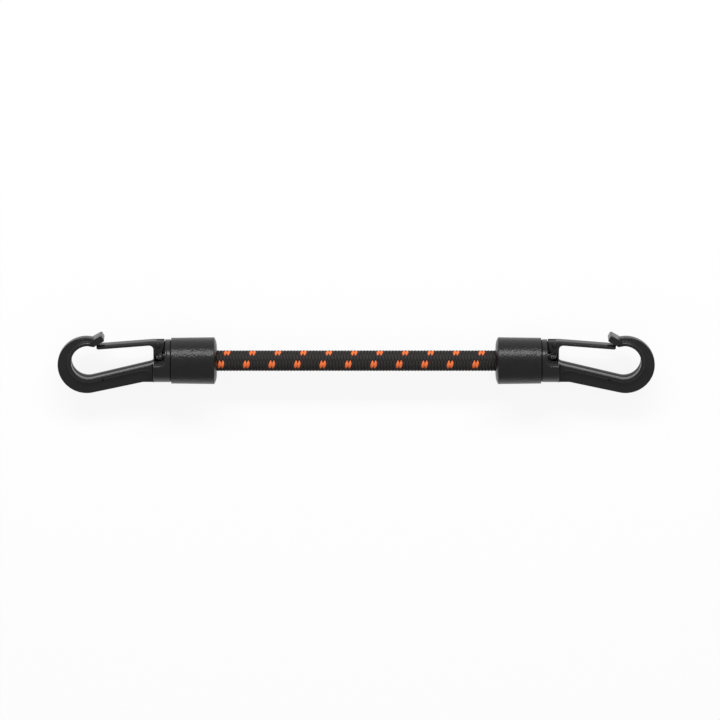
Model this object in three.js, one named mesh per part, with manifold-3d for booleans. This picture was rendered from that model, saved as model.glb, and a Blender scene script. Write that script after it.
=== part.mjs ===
// Bungee cord with a moulded snap hook at each end.
// Millimetres. X runs along the cord, Y lies in the plane of the hooks towards their gates,
// and +Z is up. The cord lies on a table, with the origin at the bottom centre of its box.

import * as THREE from "three";
import { mergeVertices } from "three/addons/utils/BufferGeometryUtils.js";
import Module from "manifold-3d";

const wasm = await Module();
wasm.setup();

// Cord
const freeLength = 116.6;
const cordDiameter = 8.2;
const sheathWall = 0.8;
const strandDiameter = 1.2;
const strandGap = 0.1;
const strandRings = 2;
const cordSides = 12;
const cordStepDiameters = 2.5;
const strandSides = 8;

// Clamp sleeve
const sleeveLength = 19.1;
const sleeveBackDiameter = 19.2;
const sleeveMouthDiameter = 19.7;
const sleeveWall = 2.1;
const sleeveLipThickness = 3.9;
const mouthClearance = 0.4;
const mouthFillet = 0.8;
const edgeChamfer = 0.2;

// Barrel and the split collet behind it
const seamGap = 0.3;
const barrelDiameter = 18;
const barrelLength = 7.1;
const colletClearance = 0.3;
const colletWall = 2.3;
const gripClearance = 0.3;
const toothHeight = 0.5;
const toothPitch = 2.1;
const toothCount = 4;
const colletSlotWidth = 1.2;
const colletSlotLength = 8.5;
const snapRidgeHeight = 0.25;
const snapRidgeWidth = 1.2;
const snapRidgeInset = 1.5;

// Bow, arm and nose of the hook
const throatLength = 27.3;
const bowInnerRadius = 7.1;
const bowOuterRadius = 12.15;
const bowSeatThickness = 5.8;
const bowCrownThickness = 3.2;
const bowRise = 0.15;
const flangeDepth = 8;
const flangeWidth = 1.7;
const webDepth = 4.8;
const armRootDrop = 0.42;
const armFlushReach = 4.5;
const armFillet = 1.6;
const gussetReach = 6.2;
const gussetInset = 0.5;
const seatHalfAngle = THREE.MathUtils.degToRad(5);
const noseAngle = THREE.MathUtils.degToRad(70);
const noseRise = THREE.MathUtils.degToRad(30);
const noseLength = 5.3;
const noseThickness = 2.8;
const noseTipRadius = 0.7;
const flangeBevel = 0.4;
const webBevel = 0.9;

// Pocket in the barrel that takes the heel of the gate
const pocketLength = 4.9;
const pocketFloorDrop = 0.1;
const pocketCornerRadius = 1.3;
const sillRise = 0.7;
const sillCornerRadius = 2.4;

// Gate, its pin and its spring
const gateDepth = 6;
const gateThickness = 1.6;
const gateTipReach = 25.7;
const gateStopGap = 0.3;
const gateTipRadius = 1;
const gateFillet = 2;
const gateBevel = 0.3;
const heelRunningGap = 0.3;
const heelReach = 3.1;
const gateSwing = THREE.MathUtils.degToRad(24);
const legThickness = 1.2;
const legBottom = 0.5;
const pivotInset = 1.9;
const pivotDrop = 1.8;
const pinDiameter = 1.6;
const pinClearance = 0.15;
const pinHeadDiameter = 2.2;
const pinHeadHeight = 0.3;
const lugThickness = 1.4;
const lugRadius = 1.6;
const lugGap = 0.3;
const lugWebGap = 0.2;
const springDiameter = 2.8;
const springWire = 0.4;
const springPitch = 0.9;
const springHeight = 1.9;
const springSeatGap = 0.2;
const springBoreClearance = 0.35;
const springBoreDepth = 3.5;
const springNubLength = 1;
const springNubGap = 0.25;
const springCurlSteps = 8;
const springSides = 5;

// Facets
const roundSides = 48;
const smallRoundSides = 24;
const bowSteps = 40;
const filletSteps = 5;

// Places along the left end, outwards from the middle of the cord
const mouthX = -freeLength / 2;
const sleeveBackX = mouthX - sleeveLength;
const shoulderX = sleeveBackX - seamGap;
const barrelFaceX = shoulderX - barrelLength;
const barrelRadius = barrelDiameter / 2;
const cordRadius = cordDiameter / 2;
const sleeveBore = sleeveBackDiameter / 2 - sleeveWall;
const colletRadius = sleeveBore - colletClearance;
const colletEndX = mouthX - sleeveLipThickness - colletClearance;
const gripRadius = cordRadius + gripClearance;
const boreRadius = Math.max(colletRadius - colletWall, gripRadius + toothHeight);
const pocketWallX = barrelFaceX + pocketLength;
const pocketFloorY = -pocketFloorDrop;
const springBoreEndX = pocketWallX + springBoreDepth;
const cordEndX = springBoreEndX + colletWall;

// Places in the plane of the hook
const bowX = barrelFaceX - throatLength;
const bowY = bowRise;
const outerX = bowX - bowInnerRadius - bowSeatThickness + bowOuterRadius;
const outerY = bowY + bowInnerRadius + bowCrownThickness - bowOuterRadius;
const flushX = barrelFaceX - armFlushReach;
const armInnerSlope = underSlope(bowX, bowY, bowInnerRadius, barrelFaceX, pocketFloorY - armRootDrop);
const armOuterSlope = underSlope(outerX, outerY, bowOuterRadius, flushX, -barrelRadius);
const gateTop = barrelRadius;
const pivotX = barrelFaceX + pivotInset;
const pivotHeight = barrelRadius - pivotDrop;
const knuckleRadius = pocketWallX - heelRunningGap - pivotX;
const legRightX = barrelFaceX + legThickness;
const heelBottom = pivotHeight - heelReach;
const heelCornerX = pivotX + (knuckleRadius - heelReach * Math.sin(gateSwing)) / Math.cos(gateSwing);
const noseX = bowX + bowInnerRadius * Math.cos(noseAngle);
const noseY = bowY + bowInnerRadius * Math.sin(noseAngle);
const gateTipX = pivotX - gateTipReach;
const gateTipTop = noseY + (gateTipX - noseX) * Math.tan(noseRise) - gateStopGap / Math.cos(noseRise);
const gateFall = (gateTop - gateTipTop) / (barrelFaceX - gateTipX);

// Geometry helpers

function point(x, y) {
  return new THREE.Vector2(x, y);
}

/** Slope of the line from a place on the right that touches the underside of a circle. */
function underSlope(x, y, radius, fromX, fromY) {
  const reach = Math.hypot(fromX - x, fromY - y);
  const touchAngle = Math.atan2(fromY - y, fromX - x) - Math.acos(radius / reach);
  return touchAngle + Math.PI / 2;
}

/** Points of a circular arc, both ends included. */
function arc(x, y, radius, from, to, steps) {
  const points = [];
  for (let i = 0; i <= steps; i += 1) {
    const angle = from + ((to - from) * i) / steps;
    points.push(point(x + radius * Math.cos(angle), y + radius * Math.sin(angle)));
  }
  return points;
}

/** Points of a quadratic curve from one point to another, both ends included. */
function bend(start, control, end, steps) {
  return new THREE.QuadraticBezierCurve(start, control, end).getPoints(steps);
}

/** Closed solid of a geometry, with its faces turned outwards. */
function solid(geometry) {
  const bare = geometry.index ? geometry.toNonIndexed() : geometry.clone();
  bare.deleteAttribute("normal");
  bare.deleteAttribute("uv");
  const merged = mergeVertices(bare, 1e-4);
  const vertProperties = Float32Array.from(merged.attributes.position.array);
  const corners = Array.from(merged.index.array);
  const triangles = [];
  for (let i = 0; i < corners.length; i += 3) {
    const [a, b, c] = corners.slice(i, i + 3);
    if (a !== b && b !== c && c !== a) {
      triangles.push(a, b, c);
    }
  }
  if (signedVolume(vertProperties, triangles) < 0) {
    triangles.reverse();
  }
  const triVerts = Uint32Array.from(triangles);
  return new wasm.Manifold(new wasm.Mesh({ numProp: 3, vertProperties, triVerts }));
}

/** Volume inside a triangle mesh, negative where its faces point inwards. */
function signedVolume(vertices, triangles) {
  const corner = (i) => new THREE.Vector3().fromArray(vertices, triangles[i] * 3);
  let volume = 0;
  for (let i = 0; i < triangles.length; i += 3) {
    volume += corner(i).dot(corner(i + 1).cross(corner(i + 2))) / 6;
  }
  return volume;
}

/** Geometry of a finished solid. */
function geometryOf(manifold) {
  const mesh = manifold.getMesh();
  const geometry = new THREE.BufferGeometry();
  geometry.setAttribute("position", new THREE.BufferAttribute(Float32Array.from(mesh.vertProperties), 3));
  geometry.setIndex(new THREE.BufferAttribute(Uint32Array.from(mesh.triVerts), 1));
  geometry.computeVertexNormals();
  return geometry;
}

/** Plate of a flat outline, centred on the plane of the hook, with its edges bevelled. */
function plate(outline, depth, bevel = 0) {
  const shape = new THREE.Shape(outline);
  const geometry = new THREE.ExtrudeGeometry(shape, {
    depth: depth - 2 * bevel,
    bevelEnabled: bevel > 0,
    bevelThickness: bevel,
    bevelSize: bevel,
    bevelOffset: -bevel,
    bevelSegments: 1,
  });
  geometry.translate(0, 0, bevel - depth / 2);
  return solid(geometry);
}

/** Solid turned about the X axis from points of distance along it and radius. */
function turned(profile, sides) {
  const points = profile.map(([x, radius]) => point(radius, x));
  const geometry = new THREE.LatheGeometry(points, sides, Math.PI / sides);
  geometry.rotateZ(-Math.PI / 2);
  return solid(geometry);
}

/** Round rod along X. */
function rodX(fromX, toX, radius, y, sides) {
  return turned([[fromX, 0], [fromX, radius], [toX, radius], [toX, 0]], sides).translate([0, y, 0]);
}

/** Round rod along Z, centred on the plane of the hook. */
function rodZ(x, y, radius, length, sides) {
  return plate(arc(x, y, radius, 0, 2 * Math.PI, sides).slice(0, -1), length);
}

/** Block between two corners. */
function block(low, high) {
  const size = high.map((value, i) => value - low[i]);
  const geometry = new THREE.BoxGeometry(...size);
  geometry.translate(...low.map((value, i) => value + size[i] / 2));
  return solid(geometry);
}

// Hook body

/** Inner edge of the arm and bow, from the barrel down and round to the crown. */
function innerEdge(offset, steps) {
  const radius = bowInnerRadius + offset;
  const from = -Math.PI / 2 + armInnerSlope;
  const seat = -Math.PI;
  const lower = arc(bowX, bowY, radius, from, seat + seatHalfAngle, steps);
  const upper = arc(bowX, bowY, radius, seat - seatHalfAngle, noseAngle - 2 * Math.PI, steps);
  return [...lower, ...upper];
}

/** Height of the arm's inner face at a place along the cord, moved outwards by an offset. */
function armTop(x, offset) {
  const radius = bowInnerRadius + offset;
  const touchX = bowX + radius * Math.sin(armInnerSlope);
  const touchY = bowY - radius * Math.cos(armInnerSlope);
  return touchY + (x - touchX) * Math.tan(armInnerSlope);
}

/** Outer edge of the bow and arm, from the crown round and back to the barrel. */
function outerEdge() {
  const ray = point(Math.cos(noseAngle), Math.sin(noseAngle));
  const shift = point(outerX - bowX, outerY - bowY);
  const reach = shift.dot(ray) + Math.sqrt(bowOuterRadius ** 2 - shift.cross(ray) ** 2);
  const start = ray.multiplyScalar(reach).sub(shift).angle();
  const lowest = (3 * Math.PI) / 2 + armOuterSlope;
  const round = arc(outerX, outerY, bowOuterRadius, start, lowest, bowSteps);
  return [...round, point(flushX, -barrelRadius)];
}

/** Root of the inner face, curved up into the face of the barrel. */
function armRoot(overlap) {
  const start = point(barrelFaceX - armFillet, armTop(barrelFaceX - armFillet, 0));
  const corner = point(barrelFaceX, armTop(barrelFaceX, 0));
  const end = point(barrelFaceX, Math.min(corner.y + armFillet / 2, pocketFloorY));
  return [point(barrelFaceX + overlap, end.y), ...bend(end, corner, start, filletSteps)];
}

/** Web of the hook: the whole band from barrel to crown, thinner than its inner flange. */
function hookWeb() {
  const overlap = barrelLength / 2;
  const outline = [
    ...armRoot(overlap),
    ...innerEdge(0, bowSteps / 2),
    ...outerEdge(),
    point(barrelFaceX, -barrelRadius),
    point(barrelFaceX + overlap, webDepth / 2 - barrelRadius),
  ];
  return plate(outline, webDepth, webBevel);
}

/** Flange along the inner edge, which spreads into a gusset against the barrel. */
function hookFlange() {
  const overlap = barrelLength / 2;
  const gussetX = barrelFaceX - gussetReach;
  const gussetTop = point(gussetX, armTop(gussetX, flangeWidth));
  const gussetCorner = point(barrelFaceX - gussetInset, gussetTop.y + gussetReach * Math.tan(armInnerSlope));
  const gussetFoot = point(barrelFaceX - gussetInset, -barrelRadius + webBevel);
  const outline = [
    ...armRoot(overlap),
    ...innerEdge(0, bowSteps / 2),
    ...innerEdge(flangeWidth, bowSteps / 2).reverse(),
    ...bend(gussetTop, gussetCorner, gussetFoot, filletSteps),
    point(barrelFaceX + overlap, gussetFoot.y),
  ];
  return plate(outline, flangeDepth, flangeBevel);
}

/** Lip over the tip of the gate, as deep as the flange. */
function hookNose() {
  const base = point(noseX, noseY);
  const along = point(Math.cos(noseRise), Math.sin(noseRise));
  const across = point(-along.y, along.x);
  const at = (run, rise) => base.clone().addScaledVector(along, run).addScaledVector(across, rise);
  const tip = at(noseLength - noseTipRadius, noseTipRadius);
  const tipTop = at(noseLength - noseTipRadius, noseThickness - noseTipRadius);
  const quarter = Math.PI / 2;
  const outline = [
    at(0, 0),
    ...arc(tip.x, tip.y, noseTipRadius, noseRise - quarter, noseRise, filletSteps),
    ...arc(tipTop.x, tipTop.y, noseTipRadius, noseRise, noseRise + quarter, filletSteps),
    at(0, noseThickness),
    at(-flangeWidth, noseThickness / 2),
  ];
  return plate(outline, flangeDepth, flangeBevel);
}

/** Barrel with the toothed collet that grips the cord, turned about the cord. */
function barrelAndCollet() {
  const ridgeX = shoulderX + snapRidgeInset;
  const teeth = [];
  for (let i = 0; i < toothCount; i += 1) {
    const x = colletEndX - i * toothPitch;
    teeth.push([x, gripRadius], [x - toothPitch, boreRadius]);
  }
  const core = turned([
    [barrelFaceX, 0],
    [barrelFaceX, barrelRadius - edgeChamfer],
    [barrelFaceX + edgeChamfer, barrelRadius],
    [shoulderX - edgeChamfer, barrelRadius],
    [shoulderX, barrelRadius - edgeChamfer],
    [shoulderX, colletRadius],
    [ridgeX, colletRadius],
    [ridgeX + snapRidgeWidth / 2, colletRadius + snapRidgeHeight],
    [ridgeX + snapRidgeWidth, colletRadius],
    [colletEndX, colletRadius],
    ...teeth,
    [cordEndX - colletClearance, boreRadius],
    [cordEndX - colletClearance, 0],
  ], roundSides);
  const slotEndX = colletEndX - colletSlotLength;
  const wide = colletRadius + barrelRadius;
  const half = colletSlotWidth / 2;
  const levelSlot = block([slotEndX, -wide, -half], [mouthX, wide, half]);
  const uprightSlot = block([slotEndX, -half, -wide], [mouthX, half, wide]);
  return core.subtract(levelSlot).subtract(uprightSlot);
}

/** Side outline of a cut from above into the barrel, with a rounded inner corner. */
function pocketOutline(floorY, cornerRadius) {
  const beyond = barrelFaceX - throatLength / 2;
  const cornerX = pocketWallX - cornerRadius;
  return [
    point(beyond, floorY),
    ...arc(cornerX, floorY + cornerRadius, cornerRadius, -Math.PI / 2, 0, filletSteps),
    point(pocketWallX, barrelDiameter),
    point(beyond, barrelDiameter),
  ];
}

/** Space for the heel of the gate: a trench for its leg, and wider above a sill at each side. */
function heelPocket() {
  const trench = plate(pocketOutline(pocketFloorY, pocketCornerRadius), gateDepth + 2 * heelRunningGap);
  const window = plate(pocketOutline(pocketFloorY + sillRise, sillCornerRadius), barrelDiameter * 2);
  return trench.add(window);
}

/** Lug in the middle of the pocket that carries the gate pin, with a web below it. */
function hingeLug() {
  const backX = pocketWallX + lugRadius;
  const outline = [
    ...arc(pivotX, pivotHeight, lugRadius, Math.PI / 2, (3 * Math.PI) / 2, smallRoundSides / 2),
    point(backX, pivotHeight - lugRadius),
    point(backX, pivotHeight + lugRadius),
  ];
  const webBottom = springHeight + springDiameter / 2 + lugWebGap;
  const webLeft = pivotX + lugGap / Math.cos(gateSwing);
  const webFall = (pivotHeight - webBottom) * Math.tan(gateSwing);
  const webOutline = [
    point(webLeft, pivotHeight),
    point(webLeft + webFall, webBottom),
    point(backX, webBottom),
    point(backX, pivotHeight),
  ];
  const keepRadius = barrelRadius - edgeChamfer;
  const keep = rodX(barrelFaceX - lugRadius, shoulderX - edgeChamfer, keepRadius, 0, roundSides);
  return plate(outline, lugThickness).add(plate(webOutline, lugThickness)).intersect(keep);
}

function hookBody() {
  const pinHole = rodZ(pivotX, pivotHeight, pinDiameter / 2 + pinClearance, flangeDepth, smallRoundSides);
  const springBoreRadius = springDiameter / 2 + springBoreClearance;
  const springBore = rodX(barrelFaceX, springBoreEndX, springBoreRadius, springHeight, smallRoundSides);
  const barrel = barrelAndCollet().subtract(heelPocket()).subtract(springBore);
  return barrel.add(hookWeb()).add(hookFlange()).add(hookNose()).add(hingeLug()).subtract(pinHole);
}

// Gate

/** Height of the gate's lower edge at a place along the cord. */
function gateUnder(x) {
  const top = gateTop + (x - barrelFaceX) * gateFall;
  return top - gateThickness * Math.hypot(1, gateFall);
}

/** Side outline of the gate: arm, spring leg, and a heel cut back to clear the pocket in its swing. */
function gateOutline() {
  const tipCorner = point(gateTipX, gateUnder(gateTipX));
  const tipSide = point(gateTipX, tipCorner.y + gateTipRadius);
  const tipFoot = point(gateTipX + gateTipRadius, gateUnder(gateTipX + gateTipRadius));
  const filletTop = point(barrelFaceX - gateFillet, gateUnder(barrelFaceX - gateFillet));
  const filletFoot = point(barrelFaceX, filletTop.y - gateFillet);
  return [
    point(gateTipX, gateTipTop),
    ...bend(tipSide, tipCorner, tipFoot, filletSteps),
    ...bend(filletTop, point(barrelFaceX, filletTop.y), filletFoot, filletSteps),
    point(barrelFaceX, legBottom),
    point(legRightX, legBottom),
    point(legRightX, heelBottom),
    point(heelCornerX, heelBottom),
    ...arc(pivotX, pivotHeight, knuckleRadius, -gateSwing, 0, filletSteps),
    point(pivotX + knuckleRadius, gateTop),
    point(barrelFaceX, gateTop),
  ];
}

function gate() {
  const lever = plate(gateOutline(), gateDepth, gateBevel);
  const slotRadius = lugRadius + lugGap;
  const slotOutline = [
    ...arc(pivotX, pivotHeight, slotRadius, Math.PI / 2, (3 * Math.PI) / 2, smallRoundSides / 2),
    point(pivotX, pivotHeight - knuckleRadius - slotRadius),
    point(pocketWallX, pivotHeight - knuckleRadius - slotRadius),
    point(pocketWallX, barrelDiameter),
    point(pivotX, barrelDiameter),
  ];
  const slot = plate(slotOutline, lugThickness + 2 * lugGap);
  const pinHole = rodZ(pivotX, pivotHeight, pinDiameter / 2 + pinClearance, flangeDepth, smallRoundSides);
  const nubRadius = springDiameter / 2 - springWire - springNubGap;
  const nubEndX = legRightX + springNubLength;
  const nub = rodX(legRightX - legThickness / 2, nubEndX, nubRadius, springHeight, springCurlSteps);
  return lever.subtract(slot).subtract(pinHole).add(nub);
}

/** Pin through both cheeks and the lug, with a shallow head at each end. */
function gatePin() {
  const headHalf = gateDepth / 2 + pinClearance + pinHeadHeight;
  const shank = rodZ(pivotX, pivotHeight, pinDiameter / 2, 2 * headHalf, smallRoundSides);
  const head = rodZ(pivotX, pivotHeight, pinHeadDiameter / 2, pinHeadHeight, smallRoundSides);
  const reach = headHalf - pinHeadHeight / 2;
  return shank.add(head.translate([0, 0, reach])).add(head.translate([0, 0, -reach]));
}

/** Coil spring between the leg of the gate and the bottom of its bore, as one unbroken wire. */
function gateSpring() {
  const startX = legRightX + springSeatGap + springWire / 2;
  const endX = springBoreEndX - springSeatGap - springWire / 2;
  const curls = Math.floor((endX - startX) / springPitch);
  const steps = curls * springCurlSteps;
  const meanRadius = (springDiameter - springWire) / 2;
  const centres = [];
  for (let i = 0; i <= steps; i += 1) {
    const angle = (2 * Math.PI * i) / springCurlSteps;
    const x = startX + ((endX - startX) * i) / steps;
    const y = springHeight + meanRadius * Math.cos(angle);
    centres.push(new THREE.Vector3(x, y, meanRadius * Math.sin(angle)));
  }
  reportGap(centres);
  return wire(centres, springHeight);
}

/** Wire of a few flat sides through points that wind about an axis along X. */
function wire(centres, axisY) {
  const positions = [];
  const triangles = [];
  const ring = (i, k) => i * springSides + (k % springSides);
  centres.forEach((centre) => {
    const outwards = new THREE.Vector3(0, centre.y - axisY, centre.z).normalize();
    for (let k = 0; k < springSides; k += 1) {
      const angle = (2 * Math.PI * k) / springSides;
      const lift = outwards.clone().multiplyScalar(Math.cos(angle) * springWire / 2);
      lift.x += Math.sin(angle) * springWire / 2;
      positions.push(...centre.clone().add(lift).toArray());
    }
  });
  const last = centres.length - 1;
  for (let i = 0; i < last; i += 1) {
    for (let k = 0; k < springSides; k += 1) {
      triangles.push(ring(i, k), ring(i + 1, k), ring(i + 1, k + 1));
      triangles.push(ring(i, k), ring(i + 1, k + 1), ring(i, k + 1));
    }
  }
  for (let k = 1; k < springSides - 1; k += 1) {
    triangles.push(ring(0, 0), ring(0, k), ring(0, k + 1));
    triangles.push(ring(last, 0), ring(last, k + 1), ring(last, k));
  }
  const geometry = new THREE.BufferGeometry();
  geometry.setAttribute("position", new THREE.Float32BufferAttribute(positions, 3));
  geometry.setIndex(triangles);
  return solid(geometry);
}

/** Prints the least gap between one curl of the wire and the next. */
function reportGap(centres) {
  let least = Infinity;
  centres.forEach((centre, i) => {
    for (let j = i + springCurlSteps / 2; j < centres.length; j += 1) {
      least = Math.min(least, centre.distanceTo(centres[j]));
    }
  });
  console.log(`least gap between spring curls ${(least - springWire).toFixed(2)} mm`);
}

// Sleeve and cord

/** Clamp sleeve that closes over the collet, wider at its mouth. */
function clampSleeve() {
  const back = sleeveBackDiameter / 2;
  const mouth = sleeveMouthDiameter / 2;
  const hole = cordRadius + mouthClearance;
  const lipX = mouthX - sleeveLipThickness;
  const grooveX = shoulderX + snapRidgeInset;
  const grooveRadius = sleeveBore + snapRidgeHeight;
  const rim = arc(mouthX - mouthFillet, mouth - mouthFillet, mouthFillet, Math.PI / 2, 0, filletSteps);
  const profile = [
    [sleeveBackX, sleeveBore],
    [sleeveBackX, back - edgeChamfer],
    [sleeveBackX + edgeChamfer, back],
    ...rim.map((place) => [place.x, place.y]),
    [mouthX, hole + edgeChamfer],
    [mouthX - edgeChamfer, hole],
    [lipX, hole],
    [lipX, sleeveBore],
    [grooveX + snapRidgeWidth, sleeveBore],
    [grooveX + snapRidgeWidth / 2, grooveRadius],
    [grooveX, sleeveBore],
    [sleeveBackX, sleeveBore],
  ];
  return turned(profile, roundSides);
}

/** Ring or disc of a cord layer, drawn out along the cord from end to end. */
function cordLayer(outerRadius, innerRadius, sides, y, z) {
  const length = -2 * cordEndX;
  const outer = arc(0, 0, outerRadius, 0, 2 * Math.PI, sides).slice(0, -1);
  const shape = new THREE.Shape(outer);
  if (innerRadius > 0) {
    shape.holes = [new THREE.Path(arc(0, 0, innerRadius, 0, 2 * Math.PI, sides).slice(0, -1))];
  }
  const steps = innerRadius > 0 ? Math.round(length / (cordStepDiameters * cordDiameter)) : 1;
  const geometry = new THREE.ExtrudeGeometry(shape, { depth: length, steps, bevelEnabled: false });
  geometry.rotateY(Math.PI / 2);
  geometry.translate(cordEndX, y, z);
  return geometryOf(solid(geometry));
}

/** Centres of the rubber strands, packed in rings of six, twelve and so on round one. */
function strandCentres() {
  const spacing = strandDiameter + strandGap;
  const centres = [[0, 0]];
  for (let ring = 1; ring <= strandRings; ring += 1) {
    for (let side = 0; side < 6; side += 1) {
      const from = (side * Math.PI) / 3;
      const to = from + Math.PI / 3;
      for (let i = 0; i < ring; i += 1) {
        const share = i / ring;
        const y = Math.cos(from) * (1 - share) + Math.cos(to) * share;
        const z = Math.sin(from) * (1 - share) + Math.sin(to) * share;
        centres.push([ring * spacing * y, ring * spacing * z]);
      }
    }
  }
  return centres;
}

// Materials
const nylon = new THREE.MeshStandardMaterial({ color: 0x2b2c2d, roughness: 0.5, metalness: 0 });
const grainedNylon = new THREE.MeshStandardMaterial({ color: 0x2d2e2f, roughness: 0.62, metalness: 0 });
const steel = new THREE.MeshStandardMaterial({ color: 0x4a4b4d, roughness: 0.35, metalness: 1 });
const springSteel = new THREE.MeshStandardMaterial({ color: 0x3a3b3d, roughness: 0.4, metalness: 1 });
const braid = new THREE.MeshStandardMaterial({ color: 0x28221f, roughness: 0.85, metalness: 0 });
const latex = new THREE.MeshStandardMaterial({ color: 0xb9a582, roughness: 0.7, metalness: 0 });

function named(name, geometry, material) {
  const mesh = new THREE.Mesh(geometry, material);
  mesh.name = name;
  return mesh;
}

/** One end of the cord, as it lies on the left. */
function hookEnd(side) {
  const end = new THREE.Group();
  end.add(named(`${side}_hook_body`, geometryOf(hookBody()), nylon));
  end.add(named(`${side}_gate`, geometryOf(gate()), nylon));
  end.add(named(`${side}_gate_pin`, geometryOf(gatePin()), steel));
  end.add(named(`${side}_gate_spring`, geometryOf(gateSpring()), springSteel));
  end.add(named(`${side}_clamp_sleeve`, geometryOf(clampSleeve()), grainedNylon));
  return end;
}

const assembly = new THREE.Group();
const rightEnd = hookEnd("right");
rightEnd.rotation.y = Math.PI;
assembly.add(hookEnd("left"), rightEnd);
assembly.add(named("cord_sheath", cordLayer(cordRadius, cordRadius - sheathWall, cordSides, 0, 0), braid));
strandCentres().forEach(([y, z], i) => {
  const label = String(i + 1).padStart(2, "0");
  assembly.add(named(`rubber_strand_${label}`, cordLayer(strandDiameter / 2, 0, strandSides, y, z), latex));
});

const box = new THREE.Box3().setFromObject(assembly);
const middle = box.getCenter(new THREE.Vector3());
assembly.position.set(-middle.x, -middle.y, -box.min.z);

const group = new THREE.Group();
group.add(assembly);

export default group;
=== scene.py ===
"""Dresses a bungee cord that has a moulded snap hook at each end.

Shapes are worked out in millimetres about the cord's own axis, as a left end
that is mirrored for the right one, and then placed in the frame in metres.
"""

import logging
import math
from dataclasses import dataclass
from enum import Enum

import bmesh
import bpy
import numpy as np
from mathutils import Matrix, Vector


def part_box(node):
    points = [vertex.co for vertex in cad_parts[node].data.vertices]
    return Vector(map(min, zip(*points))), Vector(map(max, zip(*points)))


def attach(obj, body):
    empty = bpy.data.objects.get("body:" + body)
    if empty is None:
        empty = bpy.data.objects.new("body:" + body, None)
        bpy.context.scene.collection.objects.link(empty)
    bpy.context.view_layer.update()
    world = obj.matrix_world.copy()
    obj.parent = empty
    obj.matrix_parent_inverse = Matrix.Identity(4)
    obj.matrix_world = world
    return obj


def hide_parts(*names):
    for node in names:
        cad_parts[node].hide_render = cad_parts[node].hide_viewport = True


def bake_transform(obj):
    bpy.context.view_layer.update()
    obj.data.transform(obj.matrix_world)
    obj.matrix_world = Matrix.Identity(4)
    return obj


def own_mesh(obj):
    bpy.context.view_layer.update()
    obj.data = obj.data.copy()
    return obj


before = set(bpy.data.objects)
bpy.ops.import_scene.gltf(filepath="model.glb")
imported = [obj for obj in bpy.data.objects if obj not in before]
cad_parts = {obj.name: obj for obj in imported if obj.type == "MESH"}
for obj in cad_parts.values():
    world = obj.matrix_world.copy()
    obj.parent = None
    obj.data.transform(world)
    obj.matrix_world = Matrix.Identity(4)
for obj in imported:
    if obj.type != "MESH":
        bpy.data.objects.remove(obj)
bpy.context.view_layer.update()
LOG = logging.getLogger("bungee_cord")
MM = 0.001
SHARP_ANGLE = math.radians(50)
MITRE_LEAST = 0.4
MELT_SMOOTHING = 0.5
QUARTER = math.pi / 2
SHEATH_LOW, SHEATH_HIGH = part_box("cord_sheath")
AXIS = (SHEATH_LOW + SHEATH_HIGH) / 2
Colour = tuple[float, float, float, float]
Socket = bpy.types.NodeSocket


class Side(Enum):
    """The two ends of the cord, with the sign that mirrors the left shape."""

    LEFT = 1
    RIGHT = -1

    @property
    def label(self) -> str:
        """Name of the side as the nodes and bodies use it."""
        return self.name.lower()


class RingEnds(Enum):
    """How the two ends of a row of rings are finished."""

    CAPPED = "a flat face at each end"
    LOOPED = "the last ring joined to the first"


# Surfaces


@dataclass
class Skin:
    """A closed surface in millimetres about the cord's axis.

    points has one row for each vertex, and faces the vertex numbers of each face.
    """

    points: np.ndarray
    faces: list[list[int]]

    def joined(self, *others: "Skin") -> "Skin":
        """Puts several skins into one, with their faces renumbered.

        Args:
            others: The skins that follow this one.

        Returns:
            One skin that holds them all.
        """
        points = [self.points]
        faces = list(self.faces)
        count = len(self.points)
        for other in others:
            faces += [[corner + count for corner in face] for face in other.faces]
            points.append(other.points)
            count += len(other.points)
        return Skin(np.concatenate(points), faces)

    def moved(self, x: float, y: float, z: float) -> "Skin":
        """The same skin, shifted along the three axes."""
        return Skin(self.points + np.array([x, y, z]), self.faces)

    def placed(self, side: Side) -> "Skin":
        """Moves a left-hand shape into the frame, in metres.

        Args:
            side: The end it is for. The right end mirrors X and turns the faces round.

        Returns:
            The skin in the frame.
        """
        points = self.points * np.array([side.value, 1.0, 1.0]) * MM + np.array(AXIS)
        faces = self.faces if side is Side.LEFT else [face[::-1] for face in self.faces]
        return Skin(points, faces)


def points_of(*columns: object) -> np.ndarray:
    """Sets coordinates side by side as points, with single values spread over the others."""
    return np.stack(np.broadcast_arrays(*columns), -1)


def unit(vectors: np.ndarray) -> np.ndarray:
    """Vectors of the same directions with a length of one."""
    return vectors / np.linalg.norm(vectors, axis=-1, keepdims=True)


def direction(angle: float) -> np.ndarray:
    """Unit vector at an angle, in the plane of the hook."""
    return np.array([math.cos(angle), math.sin(angle)])


def square_to(vector: np.ndarray) -> np.ndarray:
    """A vector of the hook's plane, turned clockwise by a quarter."""
    return np.array([vector[1], -vector[0]])


def round_angles(sides: int) -> np.ndarray:
    """Evenly spread angles round a full circle."""
    return np.linspace(0.0, 2 * np.pi, sides, endpoint=False)


def ring_quads(rings: int, sides: int, ends: RingEnds = RingEnds.CAPPED) -> np.ndarray:
    """Numbers the quads between rings of points that each close on themselves.

    Args:
        rings: How many rings there are.
        sides: How many points each ring has.
        ends: Whether the last ring joins the first.

    Returns:
        An array of four vertex numbers a row, ring by ring.
    """
    row = np.arange(rings if ends is RingEnds.LOOPED else rings - 1)[:, None]
    column = np.arange(sides)[None, :]
    following = (row + 1) % rings
    turned_on = (column + 1) % sides
    corners = [
        row * sides + column,
        following * sides + column,
        following * sides + turned_on,
        row * sides + turned_on,
    ]
    return np.stack(corners, -1).reshape(-1, 4)


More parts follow.
